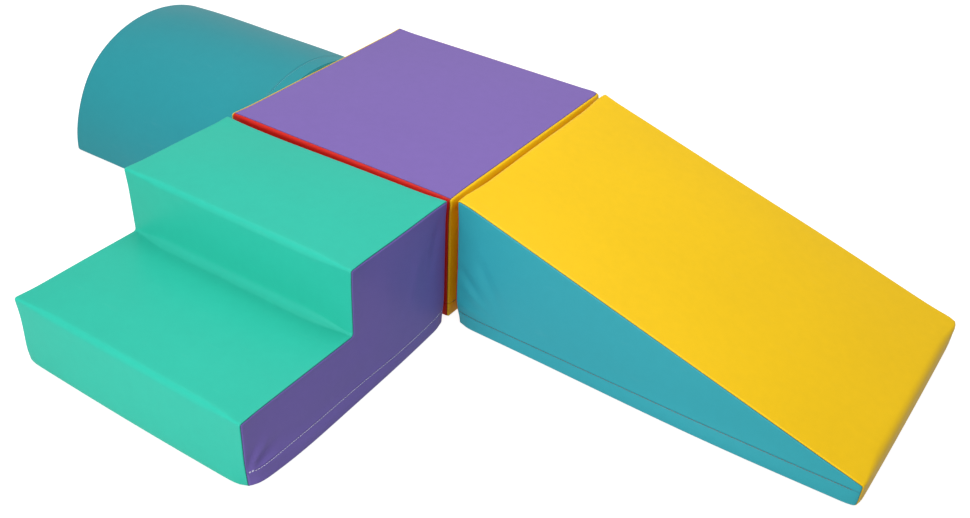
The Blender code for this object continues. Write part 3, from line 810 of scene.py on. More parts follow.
def grain_group():
    """Vinyl's embossed grain as a height: small rounded cells, with finer wrinkles over them."""
    nodes = {
        "place": ("TexCoord", {}),
        "cells": ("TexVoronoi", {"_feature": "SMOOTH_F1", "Smoothness": 0.6}),
        "double": maths("MULTIPLY", 1.7),
        "fine": ("TexNoise", {"Detail": 3.0, "Roughness": 0.6}),
        "blend": maths("MULTIPLY_ADD", 0.45),
    }
    links = """
        given.Scale > cells.Scale, given.Scale > double.0, double.0 > fine.Scale, place.Object > cells.Vector,
        place.Object > fine.Vector, fine.Fac > blend.0, cells.Distance > blend.2, blend.0 > result.Height
    """
    return shader_group("embossed grain", {"Scale": 620.0}, ("Height",), nodes, links)


def drift_group():
    """Slow change of tone over a sheet, and light scuffs: a colour in, a colour and a scuff mask out."""
    nodes = {
        "place": ("TexCoord", {}),
        "slow": ("TexNoise", {"Scale": 3.1, "Detail": 2.0, "Roughness": 0.5}),
        "mottle": ("TexNoise", {"Scale": 46.0, "Detail": 3.0, "Roughness": 0.6}),
        "turned": ("Mapping", {"Scale": (9.0, 60.0, 26.0), "Rotation": (0.3, 0.5, 0.7)}),
        "scratch": ("TexNoise", {"Scale": 1.0, "Detail": 6.0, "Roughness": 0.7}),
        "narrow": ("MapRange", {"From Min": 0.60, "From Max": 0.74}),
        "both": maths("ADD"),
        "centre": maths("SUBTRACT", 1.0),
        "amount": maths("MULTIPLY_ADD", third=1.0),
        "tint": ("HueSaturation", {}),
        "worn": maths("MULTIPLY"),
        "fade": maths("MULTIPLY", 0.25),
        "pale": ("Mix", {"_data_type": "RGBA", "B": (0.82, 0.82, 0.80, 1.0)}),
    }
    links = """
        place.Object > slow.Vector, place.Object > mottle.Vector, place.Object > turned.Vector,
        turned.Vector > scratch.Vector, scratch.Fac > narrow.Value, slow.Fac > both.0, mottle.Fac > both.1,
        both.0 > centre.0, centre.0 > amount.0, given.Tone > amount.1, given.Color > tint.Color,
        amount.0 > tint.Value, narrow.Result > worn.0, given.Scuffs > worn.1, worn.0 > fade.0,
        fade.0 > pale.Factor, tint.Color > pale.A, pale.Result > result.Color, worn.0 > result.Mask
    """
    inputs = {"Color": GREY, "Tone": 0.10, "Scuffs": 0.10}
    return shader_group("tone and scuffs", inputs, ("Color", "Mask"), nodes, links)


def seam_shade_group():
    """A colour darkened towards the seam by the sheet's own seam distance, from 1.8 mm away: painted shade in
    the seam's crease.
    """
    reach = {"From Min": 0.0, "From Max": 1.8 * MM, "To Min": 1.0, "To Max": 0.0}
    nodes = {
        "away": ("Attribute", {"_attribute_name": "seam"}),
        "near": ("MapRange", {"_interpolation_type": "SMOOTHSTEP", **reach}),
        "share": maths("MULTIPLY"),
        "dark": ("Mix", {"_data_type": "RGBA", "_blend_type": "MULTIPLY", "B": (0.10, 0.10, 0.12, 1.0)}),
    }
    links = """
        away.Fac > near.Value, near.Result > share.0, given.Dark > share.1, share.0 > dark.Factor,
        given.Color > dark.A, dark.Result > result.Color
    """
    return shader_group("sewn edge", {"Color": GREY, "Dark": 0.6}, ("Color",), nodes, links)


def topstitch_group():
    """The dip that stitches draw in the sheet: a bell of the distance from their line, as height, and as the
    mask for the painted shade in that dip.
    """
    nodes = {
        "away": ("Attribute", {"_attribute_name": "stitch"}),
        "share": maths("DIVIDE"),
        "square": maths("MULTIPLY"),
        "minus": maths("MULTIPLY", -1.0),
        "bell": maths("EXPONENT"),
        "dip": maths("MULTIPLY", -1.0),
    }
    links = """
        away.Fac > share.0, given.Width > share.1, share.0 > square.0, share.0 > square.1, square.0 > minus.0,
        minus.0 > bell.0, bell.0 > dip.0, dip.0 > result.Height, bell.0 > result.Mask
    """
    return shader_group("topstitch dip", {"Width": 1.6 * MM}, ("Height", "Mask"), nodes, links)


def material(name, nodes, links):
    """A material of its own nodes."""
    made = bpy.data.materials.new(name)
    made.use_nodes = True
    made.node_tree.nodes.clear()
    wire(made.node_tree, {"output": ("OutputMaterial", {}), **nodes}, links)
    return made


def surface(name, drift, grain, bump, rough, shader, nodes, links):
    """A sheet's material, made once: tone drift and scuffs, embossed grain, and roughness that scuffs raise.

    drift, grain, bump and shader: those nodes' values. rough: the scuffs' share, and the roughness
    without them.
    """
    found = bpy.data.materials.get(name)
    if found:
        return found
    base = {
        "shader": ("BsdfPrincipled", shader),
        "drift": ("Group", {"_node_tree": drift_group(), **drift}),
        "grain": ("Group", {"_node_tree": grain_group(), **grain}),
        "bump": ("Bump", bump),
        "rough": maths("MULTIPLY_ADD", *rough),
    }
    shared = """,
        drift.Mask > rough.0, rough.0 > shader.Roughness, grain.Height > bump.Height,
        bump.Normal > shader.Normal, shader.0 > output.Surface
    """
    return material(name, {**base, **nodes}, links + shared)


def vinyl(slot, tones):
    """Coated fabric of one colour: tone drift, painted seam shadow, topstitch dip with painted shade along
    it, embossed grain, satin roughness.

    tones: for a module whose sheet of a colour is painted lighter or darker to stand in for how light and
    shade fall on it, that colour's shares.
    """
    colour = slot.split("_")[0]
    # a sheet painted lighter or darker for light and shade gets a material of its own, named with its shares
    name = slot + " sheet" + "".join(f" {share:.2f}" for share in tones.get(colour, ()))
    paint = np.array(getattr(bpy.context.scene.climber_colours, colour)) * tones.get(colour, 1.0)
    nodes = {
        # sewn: painted shade that darkens the colour along the seams
        "sewn": ("Group", {"_node_tree": seam_shade_group()}),
        "stitched": ("Group", {"_node_tree": topstitch_group()}),
        "dip": ("Bump", {"Strength": 0.8, "Distance": 1.0 * MM}),
        # shade: painted shade along the topstitch dip, laid on by the stitch mask
        "shade": ("Mix", {"_data_type": "RGBA", "_blend_type": "MULTIPLY", "B": (0.80, 0.80, 0.83, 1.0)}),
    }
    links = """
        drift.Color > sewn.Color, sewn.Color > shade.A, stitched.Mask > shade.Factor,
        shade.Result > shader.Base Color, stitched.Height > dip.Height, dip.Normal > bump.Normal
    """
    drift = {"Color": (*paint, 1.0), "Tone": 0.08, "Scuffs": 0.05}
    bump = {"Strength": 0.16, "Distance": 0.25 * MM}
    return surface(name, drift, {}, bump, (0.35, 0.42), {"Specular IOR Level": 0.22}, nodes, links)


def plain(name, paint, roughness, grain_scale, grain_depth, metallic=0.0):
    """A material of one colour with tone drift and a fine grain of its own scale."""
    drift = {"Color": (*paint, 1.0), "Tone": 0.2, "Scuffs": 0.15}
    bump = {"Strength": 0.6, "Distance": grain_depth}
    shader = {"Metallic": metallic}
    links = "drift.Color > shader.Base Color"
    return surface(name, drift, {"Scale": grain_scale}, bump, (0.3, roughness), shader, {}, links)


def foam_material():
    """Open foam: pale, matt, with pores."""
    return plain("foam block", tuple(bpy.context.scene.climber_colours.foam), 0.85, 900.0, 0.6 * MM)


def base_material():
    """Grip fabric: dark, matt, with a raised nub."""
    return plain("grip fabric", tuple(bpy.context.scene.climber_colours.base), 0.70, 420.0, 0.7 * MM)


def platform_form(sizes, cover):
    """Platform: front, top and back as the wrap, and the yellow sides as its ends."""
    half = sizes.platform_width / 2
    high = sizes.platform_height
    side, top = cover.side_crown, cover.top_crown
    near = cover.crown_reach
    corners = [
        (-half, 0.0, cover.base_round, 0.0, "back_panel", side, near),
        (-half, high, cover.seam_round, 0.66, "top_panel", top, 0.22),
        (half, high, cover.seam_round, 0.06, "front_panel", side, near),
        (half, 0.0, cover.base_round, 1.0, "base_panel", 0.0, near),
    ]
    face = [(-half, 0.0, 1.0, 0.0), (half, 0.0, -1.0, 0.0), (0.0, 0.0, 0.0, 1.0), (0.0, high, 0.0, -1.0)]
    form = Form(
        "platform_module", corners, sizes.platform_length, ("left_panel", "right_panel"),
        (0.0, high / 2), (0.0, 0.0, 0.0), -math.pi / 2, cover, side,
        [[(*line, near, True) for line in face]], 0.08,
    )
    form.zip_across = True
    form.ears = [(-half, high, -1.0, 0.35), (half, high, 1.0, 0.35)]
    wide = sizes.platform_length / 2
    form.pulls = [
        ((-half, wide, high), (0.005, -0.005, -0.001), (0.014, 0.014, 0.05)),
        ((0.0, wide, high - 0.014), (0.0, 0.0055, 0.0), (0.80, 0.012, 0.015)),
        ((half, 0.0, high - 0.014), (0.0045, 0.0, 0.0), (0.012, 0.80, 0.015)),
    ]
    return form


def joint_gap(crown, cover):
    """From the platform's flat plane to that of a module pressed against it, with two strips between."""
    return cover.side_crown + crown + 2 * STRIP_THICK + 3 * STRIP_SLIT


def soft_corners(u, half, inward, depth, reach):
    """Pulls that round off the two corners at the floor at u, each inward along both plan axes."""
    near = (reach, reach, 1.8 * reach)
    return [((u, side * half, 0.0), (inward * depth, -side * depth, 0.0), near) for side in (-1.0, 1.0)]


def steps_form(sizes, cover):
    """Steps: the green wrap over both treads and risers, the back, and the purple sides as ends."""
    depth = sizes.upper_tread + sizes.lower_tread
    tall, low = sizes.steps_height, sizes.lower_step_height
    tread, nose = cover.tread_crown, cover.nose_round
    corners = [
        (0.0, 0.0, cover.base_round, 0.0, "back_panel", cover.side_crown, cover.crown_reach),
        (0.0, tall, cover.seam_round, 0.0, "wrap_panel", tread, 0.13),
        (sizes.upper_tread, tall, nose, 0.0, "wrap_panel", 0.002, 0.08),
        (sizes.upper_tread, low, cover.foot_round, 0.0, "wrap_panel", tread, 0.13),
        (depth, low, nose, 0.0, "wrap_panel", 0.003, 0.08),
        (depth, 0.0, cover.base_round, 1.0, "base_panel", 0.0, 0.0),
    ]
    place = (sizes.steps_offset, -(sizes.platform_width / 2 + joint_gap(cover.side_crown, cover)), 0.0)
    free = cover.face_reach
    back, floor = (0.0, 0.0, 1.0, 0.0, free, True), (0.0, 0.0, 0.0, 1.0, free, True)
    riser = (sizes.upper_tread, 0.0, -1.0, 0.0, 0.12, False)
    upper = [back, floor, (0.0, tall, 0.0, -1.0, free, True), riser]
    lower = [back, floor, (depth, 0.0, -1.0, 0.0, free, True), (0.0, low, 0.0, -1.0, 0.10, False)]
    form = Form(
        "steps_module", corners, sizes.steps_width, ("left_panel", "right_panel"),
        (0.66 * sizes.upper_tread, 0.5 * low), place, -math.pi / 2, cover, cover.side_crown,
        [upper, lower], 0.6,
    )
    form.zip_middle = depth / 2
    form.ears = [(0.0, tall, -0.6, 0.5), (sizes.upper_tread, tall, 0.5, 0.4), (depth, low, 0.8, 0.35)]
    wide = sizes.steps_width / 2
    form.pulls = soft_corners(0.0, wide, 1.0, 0.005, 0.024) + soft_corners(depth, wide, -1.0, 0.003, 0.014)
    form.pulls += [
        ((depth, wide, 0.0), (-0.006, -0.006, 0.0), (0.026, 0.026, 0.045)),
        ((0.0, wide, 0.16), (-0.003, -0.004, 0.0), (0.10, 0.05, 0.30)),
        ((0.0, -0.5 * wide, tall), (0.005, 0.0, -0.004), (0.10, 0.26, 0.12)),
        ((0.56 * depth, wide, 0.0), (0.0, 0.012, 0.0), (0.26, 0.10, 0.038)),
        ((0.84 * depth, wide, 0.0), (0.0, 0.008, 0.0), (0.14, 0.10, 0.045)),
        ((depth, 0.0, 0.0), (0.007, 0.0, 0.0), (0.05, 0.40, 0.060)),
    ]
    bar, out = (depth - 0.004, sizes.steps_width / 2, 0.038), (0.0, 1.0, 0.0)
    form.wrinkles = [
        (bar, (-0.45, 0.0, 0.89), out, -4.4 * MM, 8 * MM, 0.085),
        (bar, (-0.75, 0.0, 0.66), out, 5.4 * MM, 9 * MM, 0.110),
        (bar, (-0.93, 0.0, 0.36), out, -4.6 * MM, 9 * MM, 0.125),
        (bar, (-1.00, 0.0, -0.08), out, 5.0 * MM, 10 * MM, 0.140),
        ((0.03, sizes.steps_width / 2, 0.27), (0.35, 0.0, -0.94), out, -2.0 * MM, 15 * MM, 0.200),
        ((0.10, sizes.steps_width / 2, 0.24), (0.25, 0.0, -0.97), out, 1.5 * MM, 18 * MM, 0.190),
    ]
    # painted shade: the steps' purple sides are painted a little darker and bluer than the platform's top
    form.tones = {"purple": (0.89, 0.99, 1.05)}
    return form


def ramp_form(sizes, cover):
    """Ramp: the yellow slope over the toe, the back, and the teal sides as ends."""
    long = sizes.ramp_length
    drop = sizes.ramp_height - sizes.toe_height
    corners = [
        (0.0, 0.0, cover.base_round, 0.0, "back_panel", cover.side_crown, cover.crown_reach),
        (0.0, sizes.ramp_height, cover.ramp_back_round, 0.0, "slope_panel", cover.tread_crown, 0.30),
        (long, sizes.toe_height, cover.toe_round, 0.0, "slope_panel", 0.001, 0.02),
        (long, 0.0, cover.base_round, 1.0, "base_panel", 0.0, 0.0),
    ]
    place = (sizes.platform_length / 2 + joint_gap(cover.side_crown, cover), sizes.ramp_offset, 0.0)
    slope = (0.0, sizes.ramp_height, -drop, -long)
    face = [(0.0, 0.0, 1.0, 0.0), (0.0, 0.0, 0.0, 1.0), slope, (long, 0.0, -1.0, 0.0)]
    form = Form(
        "ramp_module", corners, sizes.ramp_width, ("near_side_panel", "far_side_panel"),
        (0.30 * long, 0.36 * sizes.ramp_height), place, 0.0, cover, cover.side_crown,
        [[(*line, cover.face_reach, True) for line in face]], 0.6,
    )
    form.zip_middle = long / 2
    form.ears = [(0.0, sizes.ramp_height, -0.5, 0.6), (long, sizes.toe_height, 0.9, 0.4)]
    out = (0.0, -1.0, 0.0)
    near = -sizes.ramp_width / 2
    form.pulls = soft_corners(0.0, -near, 1.0, 0.007, 0.024) + soft_corners(long, -near, -1.0, 0.003, 0.014)
    form.pulls += [
        ((0.0, near, 0.16), (0.004, 0.0, 0.0), (0.12, 0.30, 0.30)),
        ((0.0, 0.0, sizes.ramp_height), (0.0005, 0.0, -0.002), (0.10, 0.40, 0.10)),
        ((0.0, near, sizes.ramp_height), (0.0025, -0.001, -0.002), (0.020, 0.020, 0.020)),
        ((0.0, -near, sizes.ramp_height), (0.0025, 0.001, -0.002), (0.020, 0.020, 0.020)),
        ((0.66 * long, near, 0.0), (0.0, -0.012, 0.0), (0.36, 0.10, 0.038)),
        ((0.62 * long, -near, 0.10), (0.0, 0.005, 0.0), (0.28, 0.10, 0.12)),
        ((long, 0.0, sizes.toe_height), (0.007, 0.0, 0.0), (0.06, 0.80, 0.026)),
        ((long, 0.0, 0.010), (0.007, 0.0, 0.0), (0.05, 0.60, 0.026)),
        ((long, -near, sizes.toe_height), (-0.005, -0.005, 0.001), (0.014, 0.014, 0.03)),
        ((long, near, sizes.toe_height), (-0.003, 0.002, -0.001), (0.014, 0.014, 0.03)),
    ]
    form.wrinkles = [
        ((0.015, near, 0.150), (0.70, 0.0, -0.70), out, -3.6 * MM, 13 * MM, 0.180),
        ((0.030, near, 0.110), (0.85, 0.0, -0.50), out, 3.0 * MM, 12 * MM, 0.170),
        ((0.060, near, 0.190), (0.55, 0.0, -0.83), out, -3.0 * MM, 15 * MM, 0.190),
        ((0.012, near, 0.060), (0.97, 0.0, -0.15), out, 2.4 * MM, 11 * MM, 0.150),
    ]
    # painted light: the ramp's teal sides are painted lighter, most of all in red
    form.tones = {"teal": (1.40, 1.12, 1.09)}
    return form


def half_round_form(sizes, cover):
    """Half-round: the curved panel over half a cylinder, with an end at each end."""
    radius = sizes.half_round_radius
    gap = joint_gap(cover.end_crown, cover)
    place = (-(sizes.platform_length / 2 + gap + sizes.half_round_length / 2), sizes.half_round_offset, 0.0)
    form = Form(
        "half_round_module", radius, sizes.half_round_length, ("near_end_panel", "far_end_panel"),
        (0.0, 0.42 * radius), place, math.pi / 2, cover, cover.end_crown, [], 0.25,
    )
    half = sizes.half_round_length / 2
    # painted shade: the half-round's teal is painted darker
    form.tones = {"teal": (0.95, 0.86, 0.82)}
    form.pulls = [
        ((0.0, half, 0.12), (0.0, 0.0078, 0.0), (0.60, 0.12, 0.50)),
        ((0.0, half, radius), (0.0, 0.0, -0.005), (0.16, 0.06, 0.10)),
        ((-radius, half, 0.0), (-0.003, 0.006, 0.0), (0.10, 0.10, 0.12)),
        ((-0.7 * radius, half, 0.7 * radius), (-0.003, 0.0, 0.003), (0.12, 0.16, 0.12)),
        ((0.0, -half, radius), (0.0, -0.008, 0.0), (0.26, 0.06, 0.05)),
    ]
    return form


FORMS = {"platform": platform_form, "steps": steps_form, "ramp": ramp_form, "half_round": half_round_form}


def module_forms(scene):
    """Every module's form, by its name."""
    return {name: make(scene.climber_sizes, scene.climber_cover) for name, make in FORMS.items()}


def stitch_shape():
    """One stitch: an ellipsoid of unit length and width, four rings of six points and two poles."""
    angle = np.linspace(0.0, math.pi, 6)[1:-1]
    turn = np.linspace(0.0, 2 * math.pi, 7)[:-1]
    a, b = np.meshgrid(angle, turn, indexing="ij")
    ring = np.stack([np.cos(a) * 0.5, np.sin(a) * np.cos(b) * 0.5, np.sin(a) * np.sin(b) * 0.5], -1)
    points = np.concatenate([ring.reshape(-1, 3), [[0.5, 0.0, 0.0], [-0.5, 0.0, 0.0]]])
    index = np.arange(24).reshape(4, 6)
    fans = [fan_faces(index[0], 24, True), fan_faces(index[-1], 25, False)]
    return points, cells(np.hstack([index, index[:, :1]])), np.concatenate(fans)


def stitch_chain(cover, path, inner):
    """Stitches at even pitch along a path, each turned along it and away from the path inside the sheet."""
    gone = np.concatenate([[0.0], np.cumsum(np.linalg.norm(np.diff(path, axis=0), axis=1))])
    count = int(gone[-1] / cover.stitch_pitch)
    middle = (np.arange(count) + 0.5) * cover.stitch_pitch
    ends = [table(middle + shift * cover.stitch_length / 2, gone, path) for shift in (-1.0, 1.0)]
    below = table(middle, gone, inner)
    centre = (ends[0] + ends[1]) / 2
    along = ends[1] - ends[0]
    along /= np.linalg.norm(along, axis=1, keepdims=True)
    out = centre - below
    out -= along * np.sum(out * along, 1)[:, None]
    out /= np.linalg.norm(out, axis=1, keepdims=True)
    side = np.cross(out, along)
    points, quads, tris = stitch_shape()
    scaled = points * np.array([cover.stitch_length, cover.stitch_width, cover.stitch_width])
    lifted = centre + out * 0.15 * cover.stitch_width
    placed = (
        lifted[:, None]
        + scaled[None, :, :1] * along[:, None]
        + scaled[None, :, 1:2] * side[:, None]
        + scaled[None, :, 2:] * out[:, None]
    )
    shift = (np.arange(count) * len(points))[:, None, None]
    return placed.reshape(-1, 3), (quads + shift).reshape(-1, 4), (tris + shift).reshape(-1, 3)


def add_stitches(form, name, lines, material):
    """All stitch lines of one module as one piece."""
    points, faces, start = [], [], 0
    for s, t in lines:
        root = form.at_points(s, t, inset=THREAD_ROOT)
        made, quads, tris = stitch_chain(form.cover, form.at_points(s, t), root)
        points.append(made)
        faces += [quads + start, tris + start]
        start += len(made)
    obj = mesh_object(name, form.world(np.concatenate(points)), faces, material)
    return finish_piece(obj, form.body, None)


def end_rim(form):
    """The rim of an end face round the outline, with its parameter s."""
    s = np.linspace(0.0, form.total, 6001)[:-1]
    point, normal = form.outline(s)
    rim = point + form.sewn_shift(s, 0.0 * s)
    return s, rim - normal * form.cover.end_round


def on_end(form, side, points):
    """Points u, z of an end face as s and t: each one's ray from the face's middle gives both."""
    s, rim = end_rim(form)
    away = rim - form.middle
    angle = np.unwrap(np.arctan2(away[:, 1], away[:, 0]))
    order = np.argsort(angle)
    at = points - form.middle
    want = np.arctan2(at[:, 1], at[:, 0])
    want = np.mod(want - angle[order][0], 2 * math.pi) + angle[order][0]
    found = np.interp(want, angle[order], s[order])
    reach = table(want, angle[order], away[order])
    share = 1.0 - np.linalg.norm(at, axis=1) / np.linalg.norm(reach, axis=1)
    return found, side * (2.0 + np.clip(share, 0.0, 1.0))


def end_lines(form, height):
    """A level line on each end face, as s and t."""
    rim = end_rim(form)[1]
    low = rim[rim[:, 1] < height + 0.004, 0]
    u = np.arange(low.min() + LINE_STEP, low.max() - LINE_STEP, LINE_STEP)
    return [on_end(form, side, np.stack([u, np.full_like(u, height)], -1)) for side in (-1.0, 1.0)]


def bar_tack(form, side, u, height):
    """A short row of stitches beside the end of a stitch line, as s and t."""
    along = np.linspace(u, u - TACK_LENGTH, 9)
    return on_end(form, side, np.stack([along, np.full_like(along, height)], -1))


def wall_line(form, panel, height):
    """A level line on an upright wall panel, as s and t, from seam to seam."""
    start, end = form.ranges[panel]
    s = np.linspace(start, end, 2001)
    point = form.outline(s)[0]
    near = s[np.argmin(np.abs(point[:, 1] - height))]
    half = form.half_wrap() - 0.002
    v = np.arange(-half, half, LINE_STEP)
    return np.full_like(v, near), form.wrap_share(np.full_like(v, near), v)


def round_line(form, panel, inward):
    """A line round the wrap at a distance from its end, as s and t."""
    start, end = form.ranges[panel]
    s = np.arange(start + 0.003, end - 0.003, LINE_STEP)
    return s, np.full_like(s, -(form.width / 2 - inward) / (form.width / 2 - form.cover.end_round))


class BuildModule:
    """What the four module operators share."""

    bl_options = {"REGISTER", "UNDO"}

    def execute(self, context):
        """Make the panels, each with its slot and its topstitch's direction, and the base and the foam."""
        fastening = context.scene.climber_fastenings
        form = module_forms(context.scene)[self.prefix]
        for panel, (slot, stitched) in self.panels.items():
            name = self.prefix + "_" + panel
            if panel in form.ends:
                end_panel(form, name, 1.0 if panel == form.ends[1] else -1.0, slot, stitched)
            else:
                wall_panel(form, name, panel, slot, stitched)
        zip_length = fastening.ramp_zip_length if self.prefix == "ramp" else fastening.zip_length
        base_sheet(form, self.prefix + "_base_panel", zip_length, fastening)
        foam_block(form, self.prefix + "_foam_core", zip_length, fastening)
        return {"FINISHED"}


class CLIMBER_OT_platform(BuildModule, bpy.types.Operator):
    """Build the platform's cover and foam"""

    bl_idname = "climber.platform"
    bl_label = "Platform"
    prefix = "platform"
    panels = {
        "top_panel": ("purple_vinyl", None),
        "front_panel": ("red_vinyl", "level"),
        "back_panel": ("red_vinyl", "level"),
        "left_panel": ("yellow_vinyl", "level"),
        "right_panel": ("yellow_vinyl", "level"),
    }


class CLIMBER_OT_steps(BuildModule, bpy.types.Operator):
    """Build the steps' cover and foam"""

    bl_idname = "climber.steps"
    bl_label = "Steps"
    prefix = "steps"
    panels = {
        "wrap_panel": ("green_vinyl", None),
        "left_panel": ("purple_vinyl", "level"),
        "right_panel": ("purple_vinyl", "level"),
        "back_panel": ("red_vinyl", "level"),
    }


class CLIMBER_OT_ramp(BuildModule, bpy.types.Operator):
    """Build the ramp's cover and foam"""

    bl_idname = "climber.ramp"
    bl_label = "Ramp"
    prefix = "ramp"
    panels = {
        "slope_panel": ("yellow_vinyl", None),
        "near_side_panel": ("teal_vinyl", "level"),
        "far_side_panel": ("teal_vinyl", "level"),
        "back_panel": ("red_vinyl", "level"),
    }


class CLIMBER_OT_half_round(BuildModule, bpy.types.Operator):
    """Build the half-round's cover and foam"""

    bl_idname = "climber.half_round"
    bl_label = "Half-round"
    prefix = "half_round"
    panels = {
        "curved_panel": ("teal_vinyl", "end"),
        "near_end_panel": ("teal_vinyl", None),
        "far_end_panel": ("teal_vinyl", None),
    }


class CLIMBER_OT_stitching(bpy.types.Operator):
    """Sew the stitch lines of every cover"""

    bl_idname = "climber.stitching"
    bl_label = "Stitching"
    bl_options = {"REGISTER", "UNDO"}

    def execute(self, context):
        sizes = context.scene.climber_sizes
        level = context.scene.climber_cover.stitch_height
        platform, steps, ramp, half_round = module_forms(context.scene).values()
        paints = ((0.82, 0.80, 0.95), (0.14, 0.10, 0.07), (0.120, 0.400, 0.440))
        names = ("pale thread", "brown thread", "teal thread")
        pale, brown, teal = (plain(name, paint, 0.6, 1500.0, 0.1 * MM) for name, paint in zip(names, paints))
        nose = sizes.upper_tread + sizes.lower_tread - TACK_INSET
        tacks = [bar_tack(steps, side, nose, level + up) for side in (-1.0, 1.0) for up in TACK_RISES]
        backs = {form: wall_line(form, "back_panel", level) for form in (steps, ramp, platform)}
        rims, front = end_lines(platform, level), wall_line(platform, "front_panel", level)
        cuff = round_line(half_round, "curved_panel", level)
        for form, name, lines, thread, slot in (
            (steps, "steps_stitching", end_lines(steps, level) + tacks, pale, "purple_vinyl"),
            (steps, "steps_back_stitching", [backs[steps]], brown, "red_vinyl"),
            (ramp, "ramp_stitching", [*end_lines(ramp, level), backs[ramp]], brown, "teal_vinyl"),
            (platform, "platform_stitching", [*rims, front, backs[platform]], brown, "yellow_vinyl"),
            (half_round, "half_round_stitching", [cuff], teal, "teal_vinyl"),
        ):
            add_stitches(form, name, lines, thread)
        return {"FINISHED"}


# Distance in from a strip's edge and height above its middle plane, in millimetres.
STRIP_PROFILE = (
    (0.3, -0.9), (0.0, -0.6), (0.0, 0.5), (0.15, 0.8), (0.5, 0.9), (2.2, 0.9),
    (2.7, 0.6), (3.2, 0.42), (3.7, 0.6), (4.3, 0.88), (6.0, 0.9),
)


def rounded_outline(length, width, radius, inset):
    """A rectangle's outline with round corners, drawn in by inset: four arcs and even points between them."""
    a, b = length / 2 - inset, width / 2 - inset
    r = max(radius - inset, 0.4 * MM)
    turn = np.linspace(0.0, math.pi / 2, 7)
    points = []
    for x, y, first in ((1, 1, 0.0), (-1, 1, 0.5), (-1, -1, 1.0), (1, -1, 1.5)):
        arc = np.stack([np.cos(turn + first * math.pi), np.sin(turn + first * math.pi)], -1) * r
        points.append(arc + np.array([x * (a - r), y * (b - r)]))
    ring = []
    for index, arc in enumerate(points):
        count = 56 if index % 2 == 0 else 5
        share = np.linspace(0.0, 1.0, count + 2)[1:-1, None]
        ring += [arc, arc[-1] + (points[(index + 1) % 4][0] - arc[-1]) * share]
    return np.concatenate(ring)


def strip_piece(name, obj, outward, form, fastening, pile, thread):
    """A hook-and-loop strip in its part's place: a plate with round corners and a stitched border.

    outward: the way its pile faces. The plate is rings of one outline, drawn in and raised by a profile.
    It gives with the wall that it is sewn to.
    """
    corners = np.array([obj.matrix_world @ Vector(corner) for corner in obj.bound_box])
    low, high = corners.min(0), corners.max(0)
    middle = (low + high) / 2
    out = np.array(outward, float)
    along = np.cross((0.0, 0.0, 1.0), out)
    length = float(np.abs((high - low) @ along))
    axes = np.stack([along, np.cross(out, along), out])
    outline = (length, high[2] - low[2], fastening.strip_round)
    rings = [rounded_outline(*outline, d * MM) for d, _ in STRIP_PROFILE]
    heights = [np.full(len(ring), h * MM) for ring, (_, h) in zip(rings, STRIP_PROFILE)]
    flat = np.stack([np.column_stack(pair) for pair in zip(rings, heights)], 1)
    count, wide = flat.shape[:2]
    points = form.give(middle + flat.reshape(-1, 3) @ axes)
    first = np.arange(count) * wide
    faces = [grid_faces(count, wide, closed=True), first[None, ::-1], (first + wide - 1)[None, :]]
    made = mesh_object(name + "_sewn", points, faces, pile)
    made.data.set_sharp_from_angle(angle=math.radians(STRIP_SHARP_DEGREES))
    groove = rounded_outline(*outline, STRIP_GROOVE)
    groove = np.vstack([groove, groove[:1]])
    path = form.give(middle + np.column_stack([groove, np.full(len(groove), 0.05 * MM)]) @ axes)
    sewn, quads, tris = stitch_chain(form.cover, path, path - out * 0.001)
    stitches = mesh_object(name + "_stitches", sewn, [quads, tris], thread)
    return made, stitches


class CLIMBER_OT_fastenings(bpy.types.Operator):
    """Finish the hook-and-loop strips and the zips"""

    bl_idname = "climber.fastenings"
    bl_label = "Fastenings"
    bl_options = {"REGISTER", "UNDO"}

    def execute(self, context):
        scene = context.scene
        fastening = scene.climber_fastenings
        forms = module_forms(scene)
        pile = plain("hook and loop", (0.030, 0.030, 0.034), 0.92, 1400.0, 0.5 * MM)
        thread = plain("dark thread", (0.075, 0.075, 0.080), 0.6, 1500.0, 0.1 * MM)
        ways = {"steps": (0, -1, 0), "ramp": (1, 0, 0), "half_round": (-1, 0, 0)}
        tape = plain("zip tape", (0.045, 0.045, 0.050), 0.75, 1100.0, 0.3 * MM)
        coil = plain("zip coil", (0.060, 0.060, 0.068), 0.40, 700.0, 0.2 * MM)
        metal = plain("zip metal", (0.56, 0.55, 0.53), 0.32, 300.0, 0.05 * MM, metallic=1.0)
        for name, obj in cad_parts.items():
            if obj.hide_render:
                continue
            for ending, material in (("_zip_tape", tape), ("_zip_coil", coil), ("_zip_slider", metal)):
                if name.endswith(ending):
                    obj.material_slots[0].material = material
        for name in [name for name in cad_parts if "_strip" in name]:
            prefix = "platform" if name.startswith("platform") else name.split("_hook")[0]
            way = next(way for key, way in ways.items() if key + "_loop" in name or name.startswith(key))
            outward = way if prefix == "platform" else tuple(-value for value in way)
            form = forms[prefix]
            made, stitches = strip_piece(name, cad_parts[name], outward, form, fastening, pile, thread)
            finish_piece(made, form.body, name)
            finish_piece(stitches, form.body, None)
        return {"FINISHED"}


